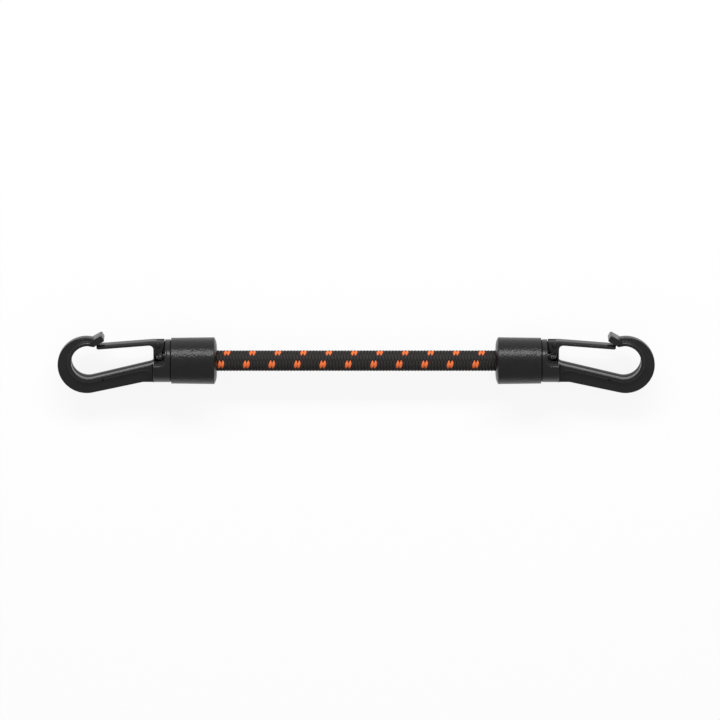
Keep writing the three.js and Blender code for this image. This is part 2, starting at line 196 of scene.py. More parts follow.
def ring_skin(grid: np.ndarray, ends: RingEnds = RingEnds.CAPPED) -> Skin:
    """Closes a grid of rings into a skin.

    Args:
        grid: Points by ring, by place round the ring, by coordinate.
        ends: How the first and last rings are finished.

    Returns:
        The closed skin.
    """
    rings, sides = grid.shape[:2]
    faces = ring_quads(rings, sides, ends).tolist()
    if ends is RingEnds.CAPPED:
        faces.append(list(range(sides)))
        faces.append(list(range(rings * sides - 1, (rings - 1) * sides - 1, -1)))
    return Skin(grid.reshape(-1, 3), faces)


def arc(x: float, y: float, radius: float, start: float, end: float, steps: int) -> np.ndarray:
    """Points of an arc about x and y: radius times cosine and sine of even angles, in radians."""
    angle = np.linspace(start, end, steps + 1)
    return points_of(x + radius * np.cos(angle), y + radius * np.sin(angle))


def curve(first: np.ndarray, control: np.ndarray, last: np.ndarray, steps: int) -> np.ndarray:
    """Points of a quadratic curve: the pull of the control fades in and out between the ends."""
    share = np.linspace(0.0, 1.0, steps + 1)[:, None]
    return (1 - share) ** 2 * first + 2 * share * (1 - share) * control + share**2 * last


def turned(profile: np.ndarray, sides: int, ends: RingEnds = RingEnds.CAPPED) -> Skin:
    """Turns rows of distance along the cord and radius about it: each radius carried round a circle."""
    x, radius, angle = profile[:, :1], profile[:, 1:], round_angles(sides)
    return ring_skin(points_of(x, radius * np.cos(angle), radius * np.sin(angle)), ends)


def rounded_plate(
    outline: np.ndarray, low: float, high: float, radius: float, steps: int = 4, stretch: float = 1.0
) -> Skin:
    """Plate of a flat outline with rounded edges.

    The outline is carried from one face to the other. Near each face it is
    drawn in along its own mitred normals by a quarter of an ellipse.

    Args:
        outline: Points in the plane of the hook, in order round it.
        low: Where the plate starts across that plane.
        high: Where it ends.
        radius: How far the rounded edges are drawn in.
        steps: Steps of each rounded edge.
        stretch: How many times deeper than that a rounded edge starts below its face.

    Returns:
        The plate's skin.
    """
    after = np.roll(outline, -1, axis=0)
    twice_area = np.sum(outline[:, 0] * after[:, 1] - outline[:, 1] * after[:, 0])
    if twice_area < 0:
        return rounded_plate(outline[::-1], low, high, radius, steps, stretch)
    ahead = unit(after - outline)
    normal = points_of(ahead[:, 1], -ahead[:, 0])
    before = np.roll(normal, 1, axis=0)
    facing = np.sum(normal * before, axis=1, keepdims=True)
    mitre = (normal + before) / np.maximum(1.0 + facing, MITRE_LEAST)
    quarter = np.linspace(0.0, QUARTER, steps + 1)
    drawn_in = radius * (1 - np.sin(quarter))
    depth = stretch * radius * (1 - np.cos(quarter))
    inset = np.concatenate([drawn_in, drawn_in[::-1]])
    level = np.concatenate([low + depth, high - depth[::-1]])
    flat = outline - inset[:, None, None] * mitre
    return ring_skin(points_of(flat[..., 0], flat[..., 1], level[:, None]))


def slab(outline: np.ndarray, low: float, high: float) -> Skin:
    """Plate of a flat outline with plain edges."""
    return rounded_plate(outline, low, high, 0.0, 1)


def block(x: tuple[float, float], y: tuple[float, float], z: tuple[float, float]) -> Skin:
    """Square block between two places along each axis."""
    return slab(np.array([[x[0], y[0]], [x[1], y[0]], [x[1], y[1]], [x[0], y[1]]]), *z)


def pillar(centre: np.ndarray, radius: float, low: float, high: float, sides: int) -> Skin:
    """Round rod across the plane of the hook: one circle carried from low to high."""
    return slab(arc(*centre, radius, 0.0, 2 * np.pi, sides)[:-1], low, high)


def tube(centres: np.ndarray, outward: np.ndarray, radius: float, sides: int) -> Skin:
    """Round wire along a path: a circle carried along it, square to the path.

    Each ring stands on an outward direction and on the direction square to
    both that and the path.

    Args:
        centres: Points of the path.
        outward: A unit direction at each point, square to the path.
        radius: Radius of the wire.
        sides: Points round it.

    Returns:
        The wire's skin.
    """
    across = np.cross(unit(np.gradient(centres, axis=0)), outward)
    angle = round_angles(sides)[None, :, None]
    spoke = np.cos(angle) * outward[:, None] + np.sin(angle) * across[:, None]
    return ring_skin(centres[:, None] + radius * spoke)


# Blender meshes


def add_object(name: str, data: bpy.types.ID) -> bpy.types.Object:
    """Makes an object at the origin and links it to the scene.

    Args:
        name: Name of the object.
        data: Its mesh, lens or lamp.

    Returns:
        The object.
    """
    item = bpy.data.objects.new(name, data)
    bpy.context.scene.collection.objects.link(item)
    return item


def make_mesh(name: str, skin: Skin, outward: bool = True) -> bpy.types.Mesh:
    """Puts a skin into a mesh that is shaded smoothly, apart from its sharp edges.

    Args:
        name: Name of the mesh.
        skin: The surface, already in the units that it is wanted in.
        outward: Whether the faces are turned to point outwards.

    Returns:
        The mesh.
    """
    mesh = bpy.data.meshes.new(name)
    mesh.from_pydata(skin.points.tolist(), [], skin.faces)
    if outward:
        shell = bmesh.new()
        shell.from_mesh(mesh)
        bmesh.ops.recalc_face_normals(shell, faces=shell.faces)
        shell.to_mesh(mesh)
        shell.free()
    mesh.polygons.foreach_set("use_smooth", np.ones(len(mesh.polygons), bool))
    mesh.set_sharp_from_angle(angle=SHARP_ANGLE)
    mesh.update()
    return mesh


def scratch(skin: Skin) -> bpy.types.Object:
    """Makes an object for a modifier to work on, removed again by read_back."""
    return add_object("scratch", make_mesh("scratch", skin))


def read_back(piece: bpy.types.Object, *spent: bpy.types.Object) -> Skin:
    """Reads a scratch object as its modifiers leave it, and clears the scratch away.

    Args:
        piece: The object whose modifiers are wanted.
        spent: Other scratch objects to remove.

    Returns:
        The finished surface.
    """
    bpy.context.view_layer.update()
    finished = piece.evaluated_get(bpy.context.evaluated_depsgraph_get())
    mesh = bpy.data.meshes.new_from_object(finished)
    points = np.empty((len(mesh.vertices), 3))
    mesh.vertices.foreach_get("co", points.ravel())
    faces = [list(face.vertices) for face in mesh.polygons]
    bpy.data.meshes.remove(mesh)
    for item in (piece, *spent):
        bpy.data.meshes.remove(item.data)
    return Skin(points, faces)


def cut(body: Skin, *cutters: Skin) -> Skin:
    """Takes closed skins out of another, one after the other.

    Args:
        body: The surface that is kept.
        cutters: The surfaces whose insides are taken away.

    Returns:
        What is left.
    """
    for cutter in cutters:
        kept = scratch(body)
        tool = scratch(cutter)
        step = kept.modifiers.new("cut", "BOOLEAN")
        step.operation = "DIFFERENCE"
        step.solver = "EXACT"
        step.object = tool
        body = read_back(kept, tool)
    return body


def fuse(skins: list[Skin], voxel: float, softening: int) -> Skin:
    """Melts overlapping skins into one moulding with softened edges.

    Args:
        skins: Closed surfaces that overlap where they join.
        voxel: Cell of the new surface, in millimetres.
        softening: How many smoothing steps round off its edges.

    Returns:
        One surface.
    """
    piece = scratch(skins[0].joined(*skins[1:]))
    melt = piece.modifiers.new("melt", "REMESH")
    melt.mode = "VOXEL"
    melt.voxel_size = voxel
    soften = piece.modifiers.new("soften", "SMOOTH")
    soften.factor = MELT_SMOOTHING
    soften.iterations = softening
    return read_back(piece)


def add_piece(name: str, mesh: bpy.types.Mesh, material: bpy.types.Material) -> bpy.types.Object:
    """Makes an object from a finished mesh and reports it.

    Args:
        name: Name of the piece.
        mesh: Its mesh, in the frame.
        material: Its finish.

    Returns:
        The object.
    """
    piece = add_object(name, mesh)
    mesh.materials.append(material)
    mesh.calc_loop_triangles()
    LOG.info("%s: %d triangles", name, len(mesh.loop_triangles))
    return piece


# Finishes


class Graph:
    """A node tree with short calls to add and link nodes."""

    def __init__(self, tree: bpy.types.NodeTree) -> None:
        """Takes over a tree and empties it."""
        self.tree = tree
        tree.nodes.clear()

    def feed(self, socket: Socket, value: object) -> None:
        """Links an input to another socket, or fills in its value.

        Args:
            socket: The input.
            value: A socket or a plain value.
        """
        if isinstance(value, Socket):
            self.tree.links.new(value, socket)
        else:
            socket.default_value = value

    def add(self, kind: str, **inputs: object) -> bpy.types.Node:
        """Adds a node and fills in its settings or sockets by name.

        Args:
            kind: The node's type name.
            inputs: Its own settings, or values or sockets for its inputs, by name with _ for spaces.

        Returns:
            The node.
        """
        node = self.tree.nodes.new(kind)
        for key, value in inputs.items():
            if hasattr(node, key):
                setattr(node, key, value)
            else:
                self.feed(node.inputs[key.replace("_", " ")], value)
        return node

    def math(self, operation: str, *values: object) -> Socket:
        """Works out a sum of values or sockets.

        Args:
            operation: The Math node's operation.
            values: Its inputs, in order.

        Returns:
            The result's socket.
        """
        node = self.add("ShaderNodeMath", operation=operation)
        for socket, value in zip(node.inputs, values):
            self.feed(socket, value)
        return node.outputs[0]

    def ramp(
        self, value: Socket, low: float, high: float, start: float = 0.0, end: float = 1.0
    ) -> Socket:
        """Stretches a value from the range low to high to that of start to end, and holds it there."""
        ranges = {"From_Min": low, "From_Max": high, "To_Min": start, "To_Max": end}
        return self.add("ShaderNodeMapRange", Value=value, **ranges).outputs["Result"]

    def blend(self, share: Socket, first: object, second: object) -> Socket:
        """Mixes two colours.

        Args:
            share: How much of the second colour shows.
            first: A colour or a colour socket.
            second: A colour or a colour socket.

        Returns:
            The mixed colour's socket.
        """
        node = self.add("ShaderNodeMix", data_type="RGBA", Factor=share)
        sockets = [entry for entry in node.inputs if entry.type == "RGBA"]
        for socket, value in zip(sockets, (first, second)):
            self.feed(socket, value)
        return next(entry for entry in node.outputs if entry.type == "RGBA")

    def noise(self, place: Socket, scale: object, detail: float, roughness: float) -> Socket:
        """Value of a noise at a place, with its fineness, its finer layers and their strength."""
        settings = {"Vector": place, "Scale": scale, "Detail": detail, "Roughness": roughness}
        return self.add("ShaderNodeTexNoise", **settings).outputs["Fac"]

    def surface(self, **inputs: object) -> None:
        """Ends a material's tree with one shader, whose inputs are given as add takes them."""
        shader = self.add("ShaderNodeBsdfPrincipled", **inputs)
        self.add("ShaderNodeOutputMaterial", Surface=shader.outputs["BSDF"])


def colour(red: int, green: int, blue: int) -> Colour:
    """Turns a colour as it shows on a screen into linear light, by the screen's own curve.

    Args:
        red: Red, from 0 to 255.
        green: Green, likewise.
        blue: Blue, likewise.

    Returns:
        The colour, opaque.
    """
    screen = np.array([red, green, blue]) / 255
    linear = np.where(screen <= 0.04045, screen / 12.92, ((screen + 0.055) / 1.055) ** 2.4)
    return (*linear.tolist(), 1.0)


def new_material(name: str) -> tuple[bpy.types.Material, Graph]:
    """Makes an empty material.

    Args:
        name: Name of the material.

    Returns:
        The material, and the graph that fills its tree.
    """
    material = bpy.data.materials.new(name)
    material.use_nodes = True
    return material, Graph(material.node_tree)


def new_group(name: str, inputs: list[str], outputs: list[str]) -> bpy.types.NodeTree:
    """Makes an empty node group with a vector input and named number sockets.

    Args:
        name: Name of the group.
        inputs: Its number inputs.
        outputs: Its number outputs.

    Returns:
        The group.
    """
    tree = bpy.data.node_groups.new(name, "ShaderNodeTree")
    tree.interface.new_socket("Vector", in_out="INPUT", socket_type="NodeSocketVector")
    for way, labels in (("INPUT", inputs), ("OUTPUT", outputs)):
        for label in labels:
            tree.interface.new_socket(label, in_out=way, socket_type="NodeSocketFloat")
    return tree


@dataclass(frozen=True)
class MouldingGrain:
    """Moulding grain: a fine pebbled height, and a slow cloudy tone for colour and gloss."""

    pebble_detail: float = 2.0
    pebble_roughness: float = 0.55
    pebble_range: tuple[float, float] = (0.25, 0.75)
    cloud_detail: float = 3.0
    cloud_roughness: float = 0.6
    cloud_range: tuple[float, float] = (0.3, 0.7)

    def build(self) -> bpy.types.NodeTree:
        """Makes the group: two noises, each stretched to run from 0 to 1.

        Returns:
            A group with the outputs Height and Tone.
        """
        tree = new_group("moulding_grain", ["Scale", "Cloud Scale"], ["Height", "Tone"])
        graph = Graph(tree)
        entry = graph.add("NodeGroupInput").outputs
        place = entry["Vector"]
        pebble = graph.noise(place, entry["Scale"], self.pebble_detail, self.pebble_roughness)
        cloud = graph.noise(place, entry["Cloud Scale"], self.cloud_detail, self.cloud_roughness)
        height = graph.ramp(pebble, *self.pebble_range)
        tone = graph.ramp(cloud, *self.cloud_range)
        graph.add("NodeGroupOutput", Height=height, Tone=tone)
        return tree


@dataclass(frozen=True)
class HandlingScuffs:
    """Handling scuffs: sparse short scratches, made of noise that is stretched one way."""

    lean: tuple[float, float, float] = (0.5, 0.3, 0.6)
    stretch: tuple[float, float, float] = (0.12, 2.5, 2.5)
    detail: float = 2.0
    roughness: float = 0.5
    highest: float = 0.8
    sharpness: float = 12.0

    def build(self) -> bpy.types.NodeTree:
        """Makes the group: what the noise has above a level that falls with the amount, made steep.

        Returns:
            A group with the output Mask, 1 on a scratch and 0 elsewhere.
        """
        tree = new_group("handling_scuffs", ["Scale", "Amount"], ["Mask"])
        graph = Graph(tree)
        entry = graph.add("NodeGroupInput").outputs
        leaning = {"Vector": entry["Vector"], "Rotation": self.lean, "Scale": self.stretch}
        place = graph.add("ShaderNodeMapping", **leaning).outputs["Vector"]
        streak = graph.noise(place, entry["Scale"], self.detail, self.roughness)
        above = graph.math("SUBTRACT", streak, graph.math("SUBTRACT", self.highest, entry["Amount"]))
        held = graph.add("ShaderNodeClamp", Value=graph.math("MULTIPLY", above, self.sharpness))
        graph.add("NodeGroupOutput", Mask=held.outputs["Result"])
        return tree


@dataclass(frozen=True)
class SharedEffects:
    """The node groups that several finishes use."""

    grain: bpy.types.NodeTree
    scuffs: bpy.types.NodeTree


@dataclass(frozen=True)
class MouldedFinish:
    """Moulded plastic or metal: a base colour with cloudy tone, grain and scuffs."""

    name: str
    dark: Colour
    light: Colour
    gloss: tuple[float, float]
    grain_scale: float
    grain_height: float
    grain_shine: float
    cloud_scale: float
    scuff_scale: float
    scuff_amount: float
    scuff_share: float = 0.35
    scuff_lift: float = 3.5
    scuff_dulling: float = 0.12
    metal: float = 0.0
    specular: float = 0.5

    def build(self, effects: SharedEffects) -> bpy.types.Material:
        """Makes the material.

        Args:
            effects: The shared node groups.

        Returns:
            The material.
        """
        material, graph = new_material(self.name)
        place = graph.add("ShaderNodeTexCoord").outputs["Object"]
        scales = {"Scale": self.grain_scale, "Cloud_Scale": self.cloud_scale}
        grain = graph.add("ShaderNodeGroup", node_tree=effects.grain, Vector=place, **scales).outputs
        wear = {"Scale": self.scuff_scale, "Amount": self.scuff_amount}
        scuffs = graph.add("ShaderNodeGroup", node_tree=effects.scuffs, Vector=place, **wear)
        scuff = scuffs.outputs["Mask"]
        tone = graph.blend(grain["Tone"], self.dark, self.light)
        worn = (*(min(1.0, self.scuff_lift * part) for part in self.light[:3]), 1.0)
        gloss = graph.ramp(grain["Tone"], 0.0, 1.0, *self.gloss)
        pebbled = graph.math("MULTIPLY_ADD", grain["Height"], self.grain_shine, gloss)
        bump = graph.add("ShaderNodeBump", Height=grain["Height"], Distance=self.grain_height)
        graph.surface(
            Base_Color=graph.blend(graph.math("MULTIPLY", scuff, self.scuff_share), tone, worn),
            Roughness=graph.math("MULTIPLY_ADD", scuff, self.scuff_dulling, pebbled),
            Normal=bump.outputs["Normal"],
            Metallic=self.metal,
            Specular_IOR_Level=self.specular,
        )
        return material


@dataclass(frozen=True)
class BraidFinish:
    """Spun yarn: fine filaments along each yarn, black or orange by the yarn's own mark, with painted
    sheen: streaks of a lighter lit copy of each colour run along the filaments.
    """

    name: str
    black: Colour
    black_lit: Colour
    orange: Colour
    orange_lit: Colour
    filaments: float
    filament_length: float
    filament_height: float
    roughness: float
    roughness_spread: float = 0.08
    fibre_detail: float = 2.0
    fibre_roughness: float = 0.6
    fibre_range: tuple[float, float] = (0.3, 0.7)
    specular: float = 0.35
    sheen: float = 0.08
    sheen_roughness: float = 0.4

    def build(self) -> bpy.types.Material:
        """Makes the material, with its pattern on the yarns' UV map.

        Returns:
            The material.
        """
        material, graph = new_material(self.name)
        place = graph.add("ShaderNodeUVMap", uv_map="yarn").outputs["UV"]
        mark = graph.add("ShaderNodeAttribute", attribute_name="fleck").outputs["Fac"]
        stretch = (self.filament_length, self.filaments, 1.0)
        drawn = graph.add("ShaderNodeMapping", Vector=place, Scale=stretch).outputs["Vector"]
        fibre = graph.noise(drawn, 1.0, self.fibre_detail, self.fibre_roughness)
        # Painted filament sheen: a streaky noise along the yarn mixes each colour with its lighter lit
        # copy.
        lit = graph.ramp(fibre, *self.fibre_range)
        plain = graph.blend(lit, self.black, self.black_lit)
        bright = graph.blend(lit, self.orange, self.orange_lit)
        dullest = self.roughness + self.roughness_spread
        glossiest = self.roughness - self.roughness_spread
        bump = graph.add("ShaderNodeBump", Height=fibre, Distance=self.filament_height)
        graph.surface(
            Base_Color=graph.blend(mark, plain, bright),
            Roughness=graph.ramp(fibre, *self.fibre_range, dullest, glossiest),
            Normal=bump.outputs["Normal"],
            Specular_IOR_Level=self.specular,
            Sheen_Weight=self.sheen,
            Sheen_Roughness=self.sheen_roughness,
        )
        return material


MOULDED = {
    "hook_nylon": MouldedFinish(
        name="satin_hook_nylon",
        dark=colour(26, 26, 26),
        light=colour(30, 30, 30),
        gloss=(0.24, 0.28),
        grain_scale=3600.0,
        grain_height=0.000003,
        grain_shine=0.02,
        cloud_scale=160.0,
        scuff_scale=420.0,
        scuff_amount=0.06,
        specular=0.32,
    ),
    "grained_nylon": MouldedFinish(
        name="spark_grained_nylon",
        dark=colour(21, 21, 21),
        light=colour(26, 26, 27),
        gloss=(0.22, 0.27),
        grain_scale=1350.0,
        grain_height=0.00007,
        grain_shine=0.08,
        cloud_scale=420.0,
        scuff_scale=380.0,
        scuff_amount=0.05,
        specular=0.32,
    ),
    "pin_steel": MouldedFinish(
        name="blackened_pin_steel",
        dark=colour(46, 46, 47),
        light=colour(62, 62, 63),
        gloss=(0.36, 0.46),
        grain_scale=5200.0,
        grain_height=0.000006,
        grain_shine=0.06,
        cloud_scale=900.0,
        scuff_scale=900.0,
        scuff_amount=0.1,
        metal=1.0,
    ),
    "spring_steel": MouldedFinish(
        name="drawn_spring_steel",
        dark=colour(222, 222, 224),
        light=colour(240, 240, 242),
        gloss=(0.4, 0.5),
        grain_scale=6000.0,
        grain_height=0.000004,
        grain_shine=0.05,
        cloud_scale=1200.0,
        scuff_scale=1200.0,
        scuff_amount=0.1,
        metal=1.0,
    ),
    "latex": MouldedFinish(
        name="latex_strand",
        dark=colour(176, 158, 124),
        light=colour(200, 182, 146),
        gloss=(0.55, 0.68),
        grain_scale=2600.0,
        grain_height=0.00002,
        grain_shine=0.08,
        cloud_scale=300.0,
        scuff_scale=500.0,
        scuff_amount=0.02,
    ),
}
BRAID = BraidFinish(
    name="flecked_braid",
    black=colour(24, 20, 20),
    # black_lit and orange_lit are lighter lit copies of the yarn colours, painted as sheen along the
    # filaments.
    black_lit=colour(46, 40, 40),
    orange=colour(230, 98, 42),
    orange_lit=colour(255, 136, 76),
    filaments=9.0,
    filament_length=1.1,
    filament_height=0.00004,
    roughness=0.72,
)


# Sub-assemblies


@dataclass
class EndSizes:
    """Sizes that the pieces of one end share, in millimetres, and the places that follow."""

    free_length: float = 116.6
    sleeve_length: float = 19.1
    seam_gap: float = 0.3
    barrel_radius: float = 9.0
    barrel_length: float = 7.1
    throat_length: float = 27.3
    pocket_length: float = 4.9
    pocket_floor: float = -0.1
    pocket_radius: float = 1.3
    sill: float = 0.6
    sill_radius: float = 2.4
    trench_half: float = 3.3
    pivot_inset: float = 1.9
    pivot_height: float = 7.2
    spring_height: float = 1.9
    spring_bore_depth: float = 3.5
    leg_thickness: float = 0.7
    swing: float = math.radians(24)
    bow_rise: float = 0.15
    bow_inner_radius: float = 7.1
    nose_angle: float = math.radians(70)
    nose_rise: float = math.radians(30)

    def __post_init__(self) -> None:
        """Works out the places along the left end."""
        self.mouth_x = -self.free_length / 2
        self.sleeve_back_x = self.mouth_x - self.sleeve_length
        self.shoulder_x = self.sleeve_back_x - self.seam_gap
        self.face_x = self.shoulder_x - self.barrel_length
        self.pocket_x = self.face_x + self.pocket_length
        self.spring_end_x = self.pocket_x + self.spring_bore_depth
        self.pivot = np.array([self.face_x + self.pivot_inset, self.pivot_height])
        self.leg_x = self.face_x + self.leg_thickness
        self.bow = np.array([self.face_x - self.throat_length, self.bow_rise])
        self.nose = self.bow + self.bow_inner_radius * direction(self.nose_angle)


@dataclass
class HookBand:
    """Arm and bow of T section round the hook's mouth, and the nose that ends them."""

    ends: EndSizes
    bow_outer_radius: float = 12.15
    seat_thickness: float = 5.8
    seat_half_angle: float = math.radians(5)
    crown_thickness: float = 3.2
    flange_half: float = 4.0
    flange_width: float = 1.7
    flange_round: float = 0.4
    flange_crown: float = 1.0
    groove_half: float = 0.8
    groove_depth: float = 0.3
    web_half: float = 2.4
    web_least: float = 0.1
    rim_half: float = 1.3
    rim_round: float = 0.4
    taper_share: float = 0.75
    taper_reach: float = 4.1
    step_fillet: float = 0.2
    corner_steps: int = 6
    root_drop: float = 0.42
    root_reach: float = 1.6
    root_overlap: float = 0.8
    flush_reach: float = 4.5
    face_pull: float = 0.35
    facing_least: float = 0.05
    falling_least: float = 0.3
    gusset_reach: float = 6.2
    gusset_inset: float = 0.5
    gusset_foot: float = 0.9
    slit: float = 0.55
    slit_top: float = -1.0
    nose_length: float = 5.3
    nose_thickness: float = 2.8
    nose_tip_radius: float = 0.7
    nose_round: float = 0.35
    nose_stretch: float = 1.2
    nose_steps: int = 8
    mark_place: tuple[float, float] = (-106.0, -7.5)
    mark_radius: float = 0.55
    mark_depth: float = 0.8
    mark_sides: int = 48
    arm_steps: int = 120
    bow_steps: int = 200

    def __post_init__(self) -> None:
        """Works out the bow's outer circle and the slopes of the arm's two edges."""
        ends = self.ends
        left = ends.bow[0] - ends.bow_inner_radius - self.seat_thickness
        top = ends.bow[1] + ends.bow_inner_radius + self.crown_thickness
        self.outer = np.array([left + self.bow_outer_radius, top - self.bow_outer_radius])
        self.flush = np.array([ends.face_x - self.flush_reach, -ends.barrel_radius])
        root = np.array([ends.face_x, ends.pocket_floor - self.root_drop])
        self.inner_slope = self.under_slope(ends.bow, ends.bow_inner_radius, root)
        self.outer_slope = self.under_slope(self.outer, self.bow_outer_radius, self.flush)

    @staticmethod
    def under_slope(centre: np.ndarray, radius: float, start: np.ndarray) -> float:
        """Slope of the line from a place on the right that touches the underside of a circle."""
        x, y = start - centre
        return math.atan2(y, x) - math.acos(radius / math.hypot(x, y)) + QUARTER

    def outer_reach(self, start: np.ndarray, heading: np.ndarray) -> np.ndarray:
        """How far the band's outer edge lies from its inner edge.

        A ray from each inner point meets the outer circle as long as that is
        left of where the arm's outer edge touches it. Otherwise it meets the
        arm's edge or the flat under the barrel, whichever is further. Inside
        the barrel the reach is shortened, so that the edge stays in it.

        Args:
            start: Points on the inner edge.
            heading: The ray's direction at each point.

        Returns:
            The distance along each ray.
        """
        shift = self.outer - start
        ahead = np.sum(shift * heading, axis=1)
        square = self.bow_outer_radius**2 - np.sum(shift**2, axis=1) + ahead**2
        to_circle = ahead + np.sqrt(np.maximum(square, 0.0))
        along = direction(self.outer_slope)
        down = square_to(along)
        to_edge = (self.flush - start) @ down / np.maximum(heading @ down, self.facing_least)
        to_flat = (self.flush[1] - start[:, 1]) / np.minimum(heading[:, 1], -self.facing_least)
        hit = start + to_circle[:, None] * heading
        on_circle = (hit - self.outer - self.bow_outer_radius * down) @ along < 0
        on_circle |= heading[:, 1] > -self.falling_least
        reach = np.where(on_circle, to_circle, np.maximum(to_edge, to_flat))
        past_face = start[:, 0] + reach * heading[:, 0] - self.ends.face_x
        return reach - self.face_pull * np.maximum(past_face, 0.0)

    def arm_width(self, run: np.ndarray, touch: np.ndarray, along: np.ndarray) -> np.ndarray:
        """Width of the flange on the arm, which spreads to a gusset at the barrel by a quadratic curve.

        Args:
            run: Distances along the arm.
            touch: Where the arm leaves the bow.
            along: The arm's direction.

        Returns:
            The width at each distance.
        """
        out = square_to(along)
        corner_x = self.ends.face_x - self.gusset_inset
        start = touch + out * self.flange_width
        start = start + along * (self.ends.face_x - self.gusset_reach - start[0]) / along[0]
        corner = np.array([corner_x, start[1] + self.gusset_reach * math.tan(self.inner_slope)])
        foot = np.array([corner_x, self.gusset_foot - self.ends.barrel_radius])
        edge = curve(start, corner, foot, self.arm_steps) - touch
        spread = np.interp(run[::-1], edge @ along, edge @ out)[::-1]
        return np.where(run > (start - touch) @ along, spread, self.flange_width)

    def path(self) -> tuple[np.ndarray, np.ndarray, np.ndarray]:
        """Inner edge of the band, from inside the barrel down the arm and round to the crown.

        The arm is a straight line that curves up at its root. The bow is a
        circle whose seat is a flat chord.

        Returns:
            Points of the edge, the direction outwards at each, and the width of the flange there.
        """
        ends = self.ends
        along = direction(self.inner_slope)
        out = square_to(along)
        touch = ends.bow + ends.bow_inner_radius * out
        first = (ends.face_x + self.root_overlap - touch[0]) / along[0]
        run = np.linspace(first, 0.0, self.arm_steps, endpoint=False)
        arm = touch + run[:, None] * along
        lifted = np.clip((arm[:, 0] - ends.face_x + self.root_reach) / self.root_reach, 0.0, 1.0)
        arm[:, 1] += self.root_drop * lifted**2
        angle = np.linspace(self.inner_slope - QUARTER, ends.nose_angle - 2 * np.pi, self.bow_steps)
        off_seat = np.minimum(np.abs(angle + np.pi), self.seat_half_angle)
        chord = ends.bow_inner_radius * math.cos(self.seat_half_angle) / np.cos(off_seat)
        ray = points_of(np.cos(angle), np.sin(angle))
        bow = ends.bow + chord[:, None] * ray
        bow_width = np.full(self.bow_steps, self.flange_width)
        width = np.concatenate([self.arm_width(run, touch, along), bow_width])
        heading = np.concatenate([np.broadcast_to(out, arm.shape), ray])
        return np.concatenate([arm, bow]), heading, width

    def section(self) -> np.ndarray:
        """T section of the band, as one half from the inner face to the outer edge and its mirror.

        The inner face has a shallow groove. The web is tapered towards its rim.

        Returns:
            Rows of a plain depth, shares of the flange's width and of the whole depth, and a height.
        """
        near = self.groove_half - self.groove_depth / 2
        far = self.groove_half + self.groove_depth / 2
        share = self.taper_share
        half = np.concatenate([
            [[self.groove_depth, 0.0, 0.0, 0.0], [self.groove_depth, 0.0, 0.0, near]],
            [[0.0, 0.0, 0.0, far]],
            self.rounded_corner(self.flange_round, self.flange_half, (0.0, 0.0), inner=True),
            self.rounded_corner(self.flange_crown, self.flange_half, (1.0, 0.0)),
            [[0.0, 1.0, 0.0, self.web_half + self.step_fillet]],
            [[self.step_fillet, 1.0, 0.0, self.web_half]],
            [[0.0, share, 1 - share, self.web_half]],
            self.rounded_corner(self.rim_round, self.rim_half, (0.0, 1.0)),
            [[0.0, 0.0, 1.0, 0.0]],
        ])
        mirrored = half[-2:0:-1] * np.array([1.0, 1.0, 1.0, -1.0])
        return np.concatenate([half, mirrored])

    def rounded_corner(
        self, radius: float, top: float, shares: tuple[float, float], inner: bool = False
    ) -> np.ndarray:
        """Quarter circle that rounds off a corner of the section.

        Args:
            radius: Radius of the round.
            top: Height of the face that it meets.
            shares: Shares of the flange's width and of the whole depth at which the corner lies.
            inner: Whether it faces the inner edge and so rises, instead of falling.

        Returns:
            Rows as the section has them.
        """
        quarter = np.linspace(0.0, QUARTER, self.corner_steps + 1)
        plain = radius * (1 - np.cos(quarter)) if inner else -radius * (1 - np.sin(quarter))
        height = top - radius * (1 - (np.sin(quarter) if inner else np.cos(quarter)))
        return points_of(plain, *shares, height)

    def skin(self) -> Skin:
        """Arm and bow: the T section carried along the inner edge.

        The rim keeps the web's slope, so it is higher where the band is less
        deep. The ejector mark and a slit in front of the barrel on both sides
        of the web are cut out.

        Returns:
            The band's skin.
        """
        start, heading, width = self.path()
        reach = self.outer_reach(start, heading)
        width = np.minimum(width, reach - self.rim_round - self.step_fillet - self.web_least)
        plain, by_width, by_reach, height = self.section().T
        depth = plain + by_width * width[:, None] + by_reach * reach[:, None]
        flat = start[:, None] + depth[..., None] * heading[:, None]
        thinned = np.clip((reach - width) / self.taper_reach, 0.0, 1.0)
        rim_height = self.web_half - (self.web_half - self.rim_half) * thinned
        level = height * np.where(by_reach == 1.0, rim_height[:, None] / self.rim_half, 1.0)
        whole = ring_skin(points_of(flat[..., 0], flat[..., 1], level))
        beyond = 2 * self.flange_half
        mark_floor = self.web_half - self.mark_depth
        mark = pillar(self.mark_place, self.mark_radius, mark_floor, beyond, self.mark_sides)
        slit_x = (self.ends.face_x - self.slit, self.ends.face_x)
        slit_y = (-2 * self.ends.barrel_radius, self.slit_top)
        front = block(slit_x, slit_y, (self.web_half, beyond))
        rear = block(slit_x, slit_y, (-beyond, -self.web_half))
        return cut(whole, mark, front, rear)

    def nose(self) -> Skin:
        """Lip over the gate's tip: a bar with a rounded end, as deep as the flange.

        Returns:
            The lip's skin.
        """
        along = direction(self.ends.nose_rise)
        across = -square_to(along)
        soft = self.nose_tip_radius
        thick = self.nose_thickness
        tip = self.nose_length - soft
        low = arc(tip, soft, soft, -QUARTER, 0.0, self.nose_steps)
        high = arc(tip, thick - soft, soft, 0.0, QUARTER, self.nose_steps)
        back = [[0.0, thick], [-self.flange_width, thick / 2]]
        local = np.concatenate([[[0.0, 0.0]], low, high, back])
        outline = self.ends.nose + local[:, :1] * along + local[:, 1:] * across
        half = self.flange_half
        return rounded_plate(outline, -half, half, self.nose_round, self.nose_steps, self.nose_stretch)


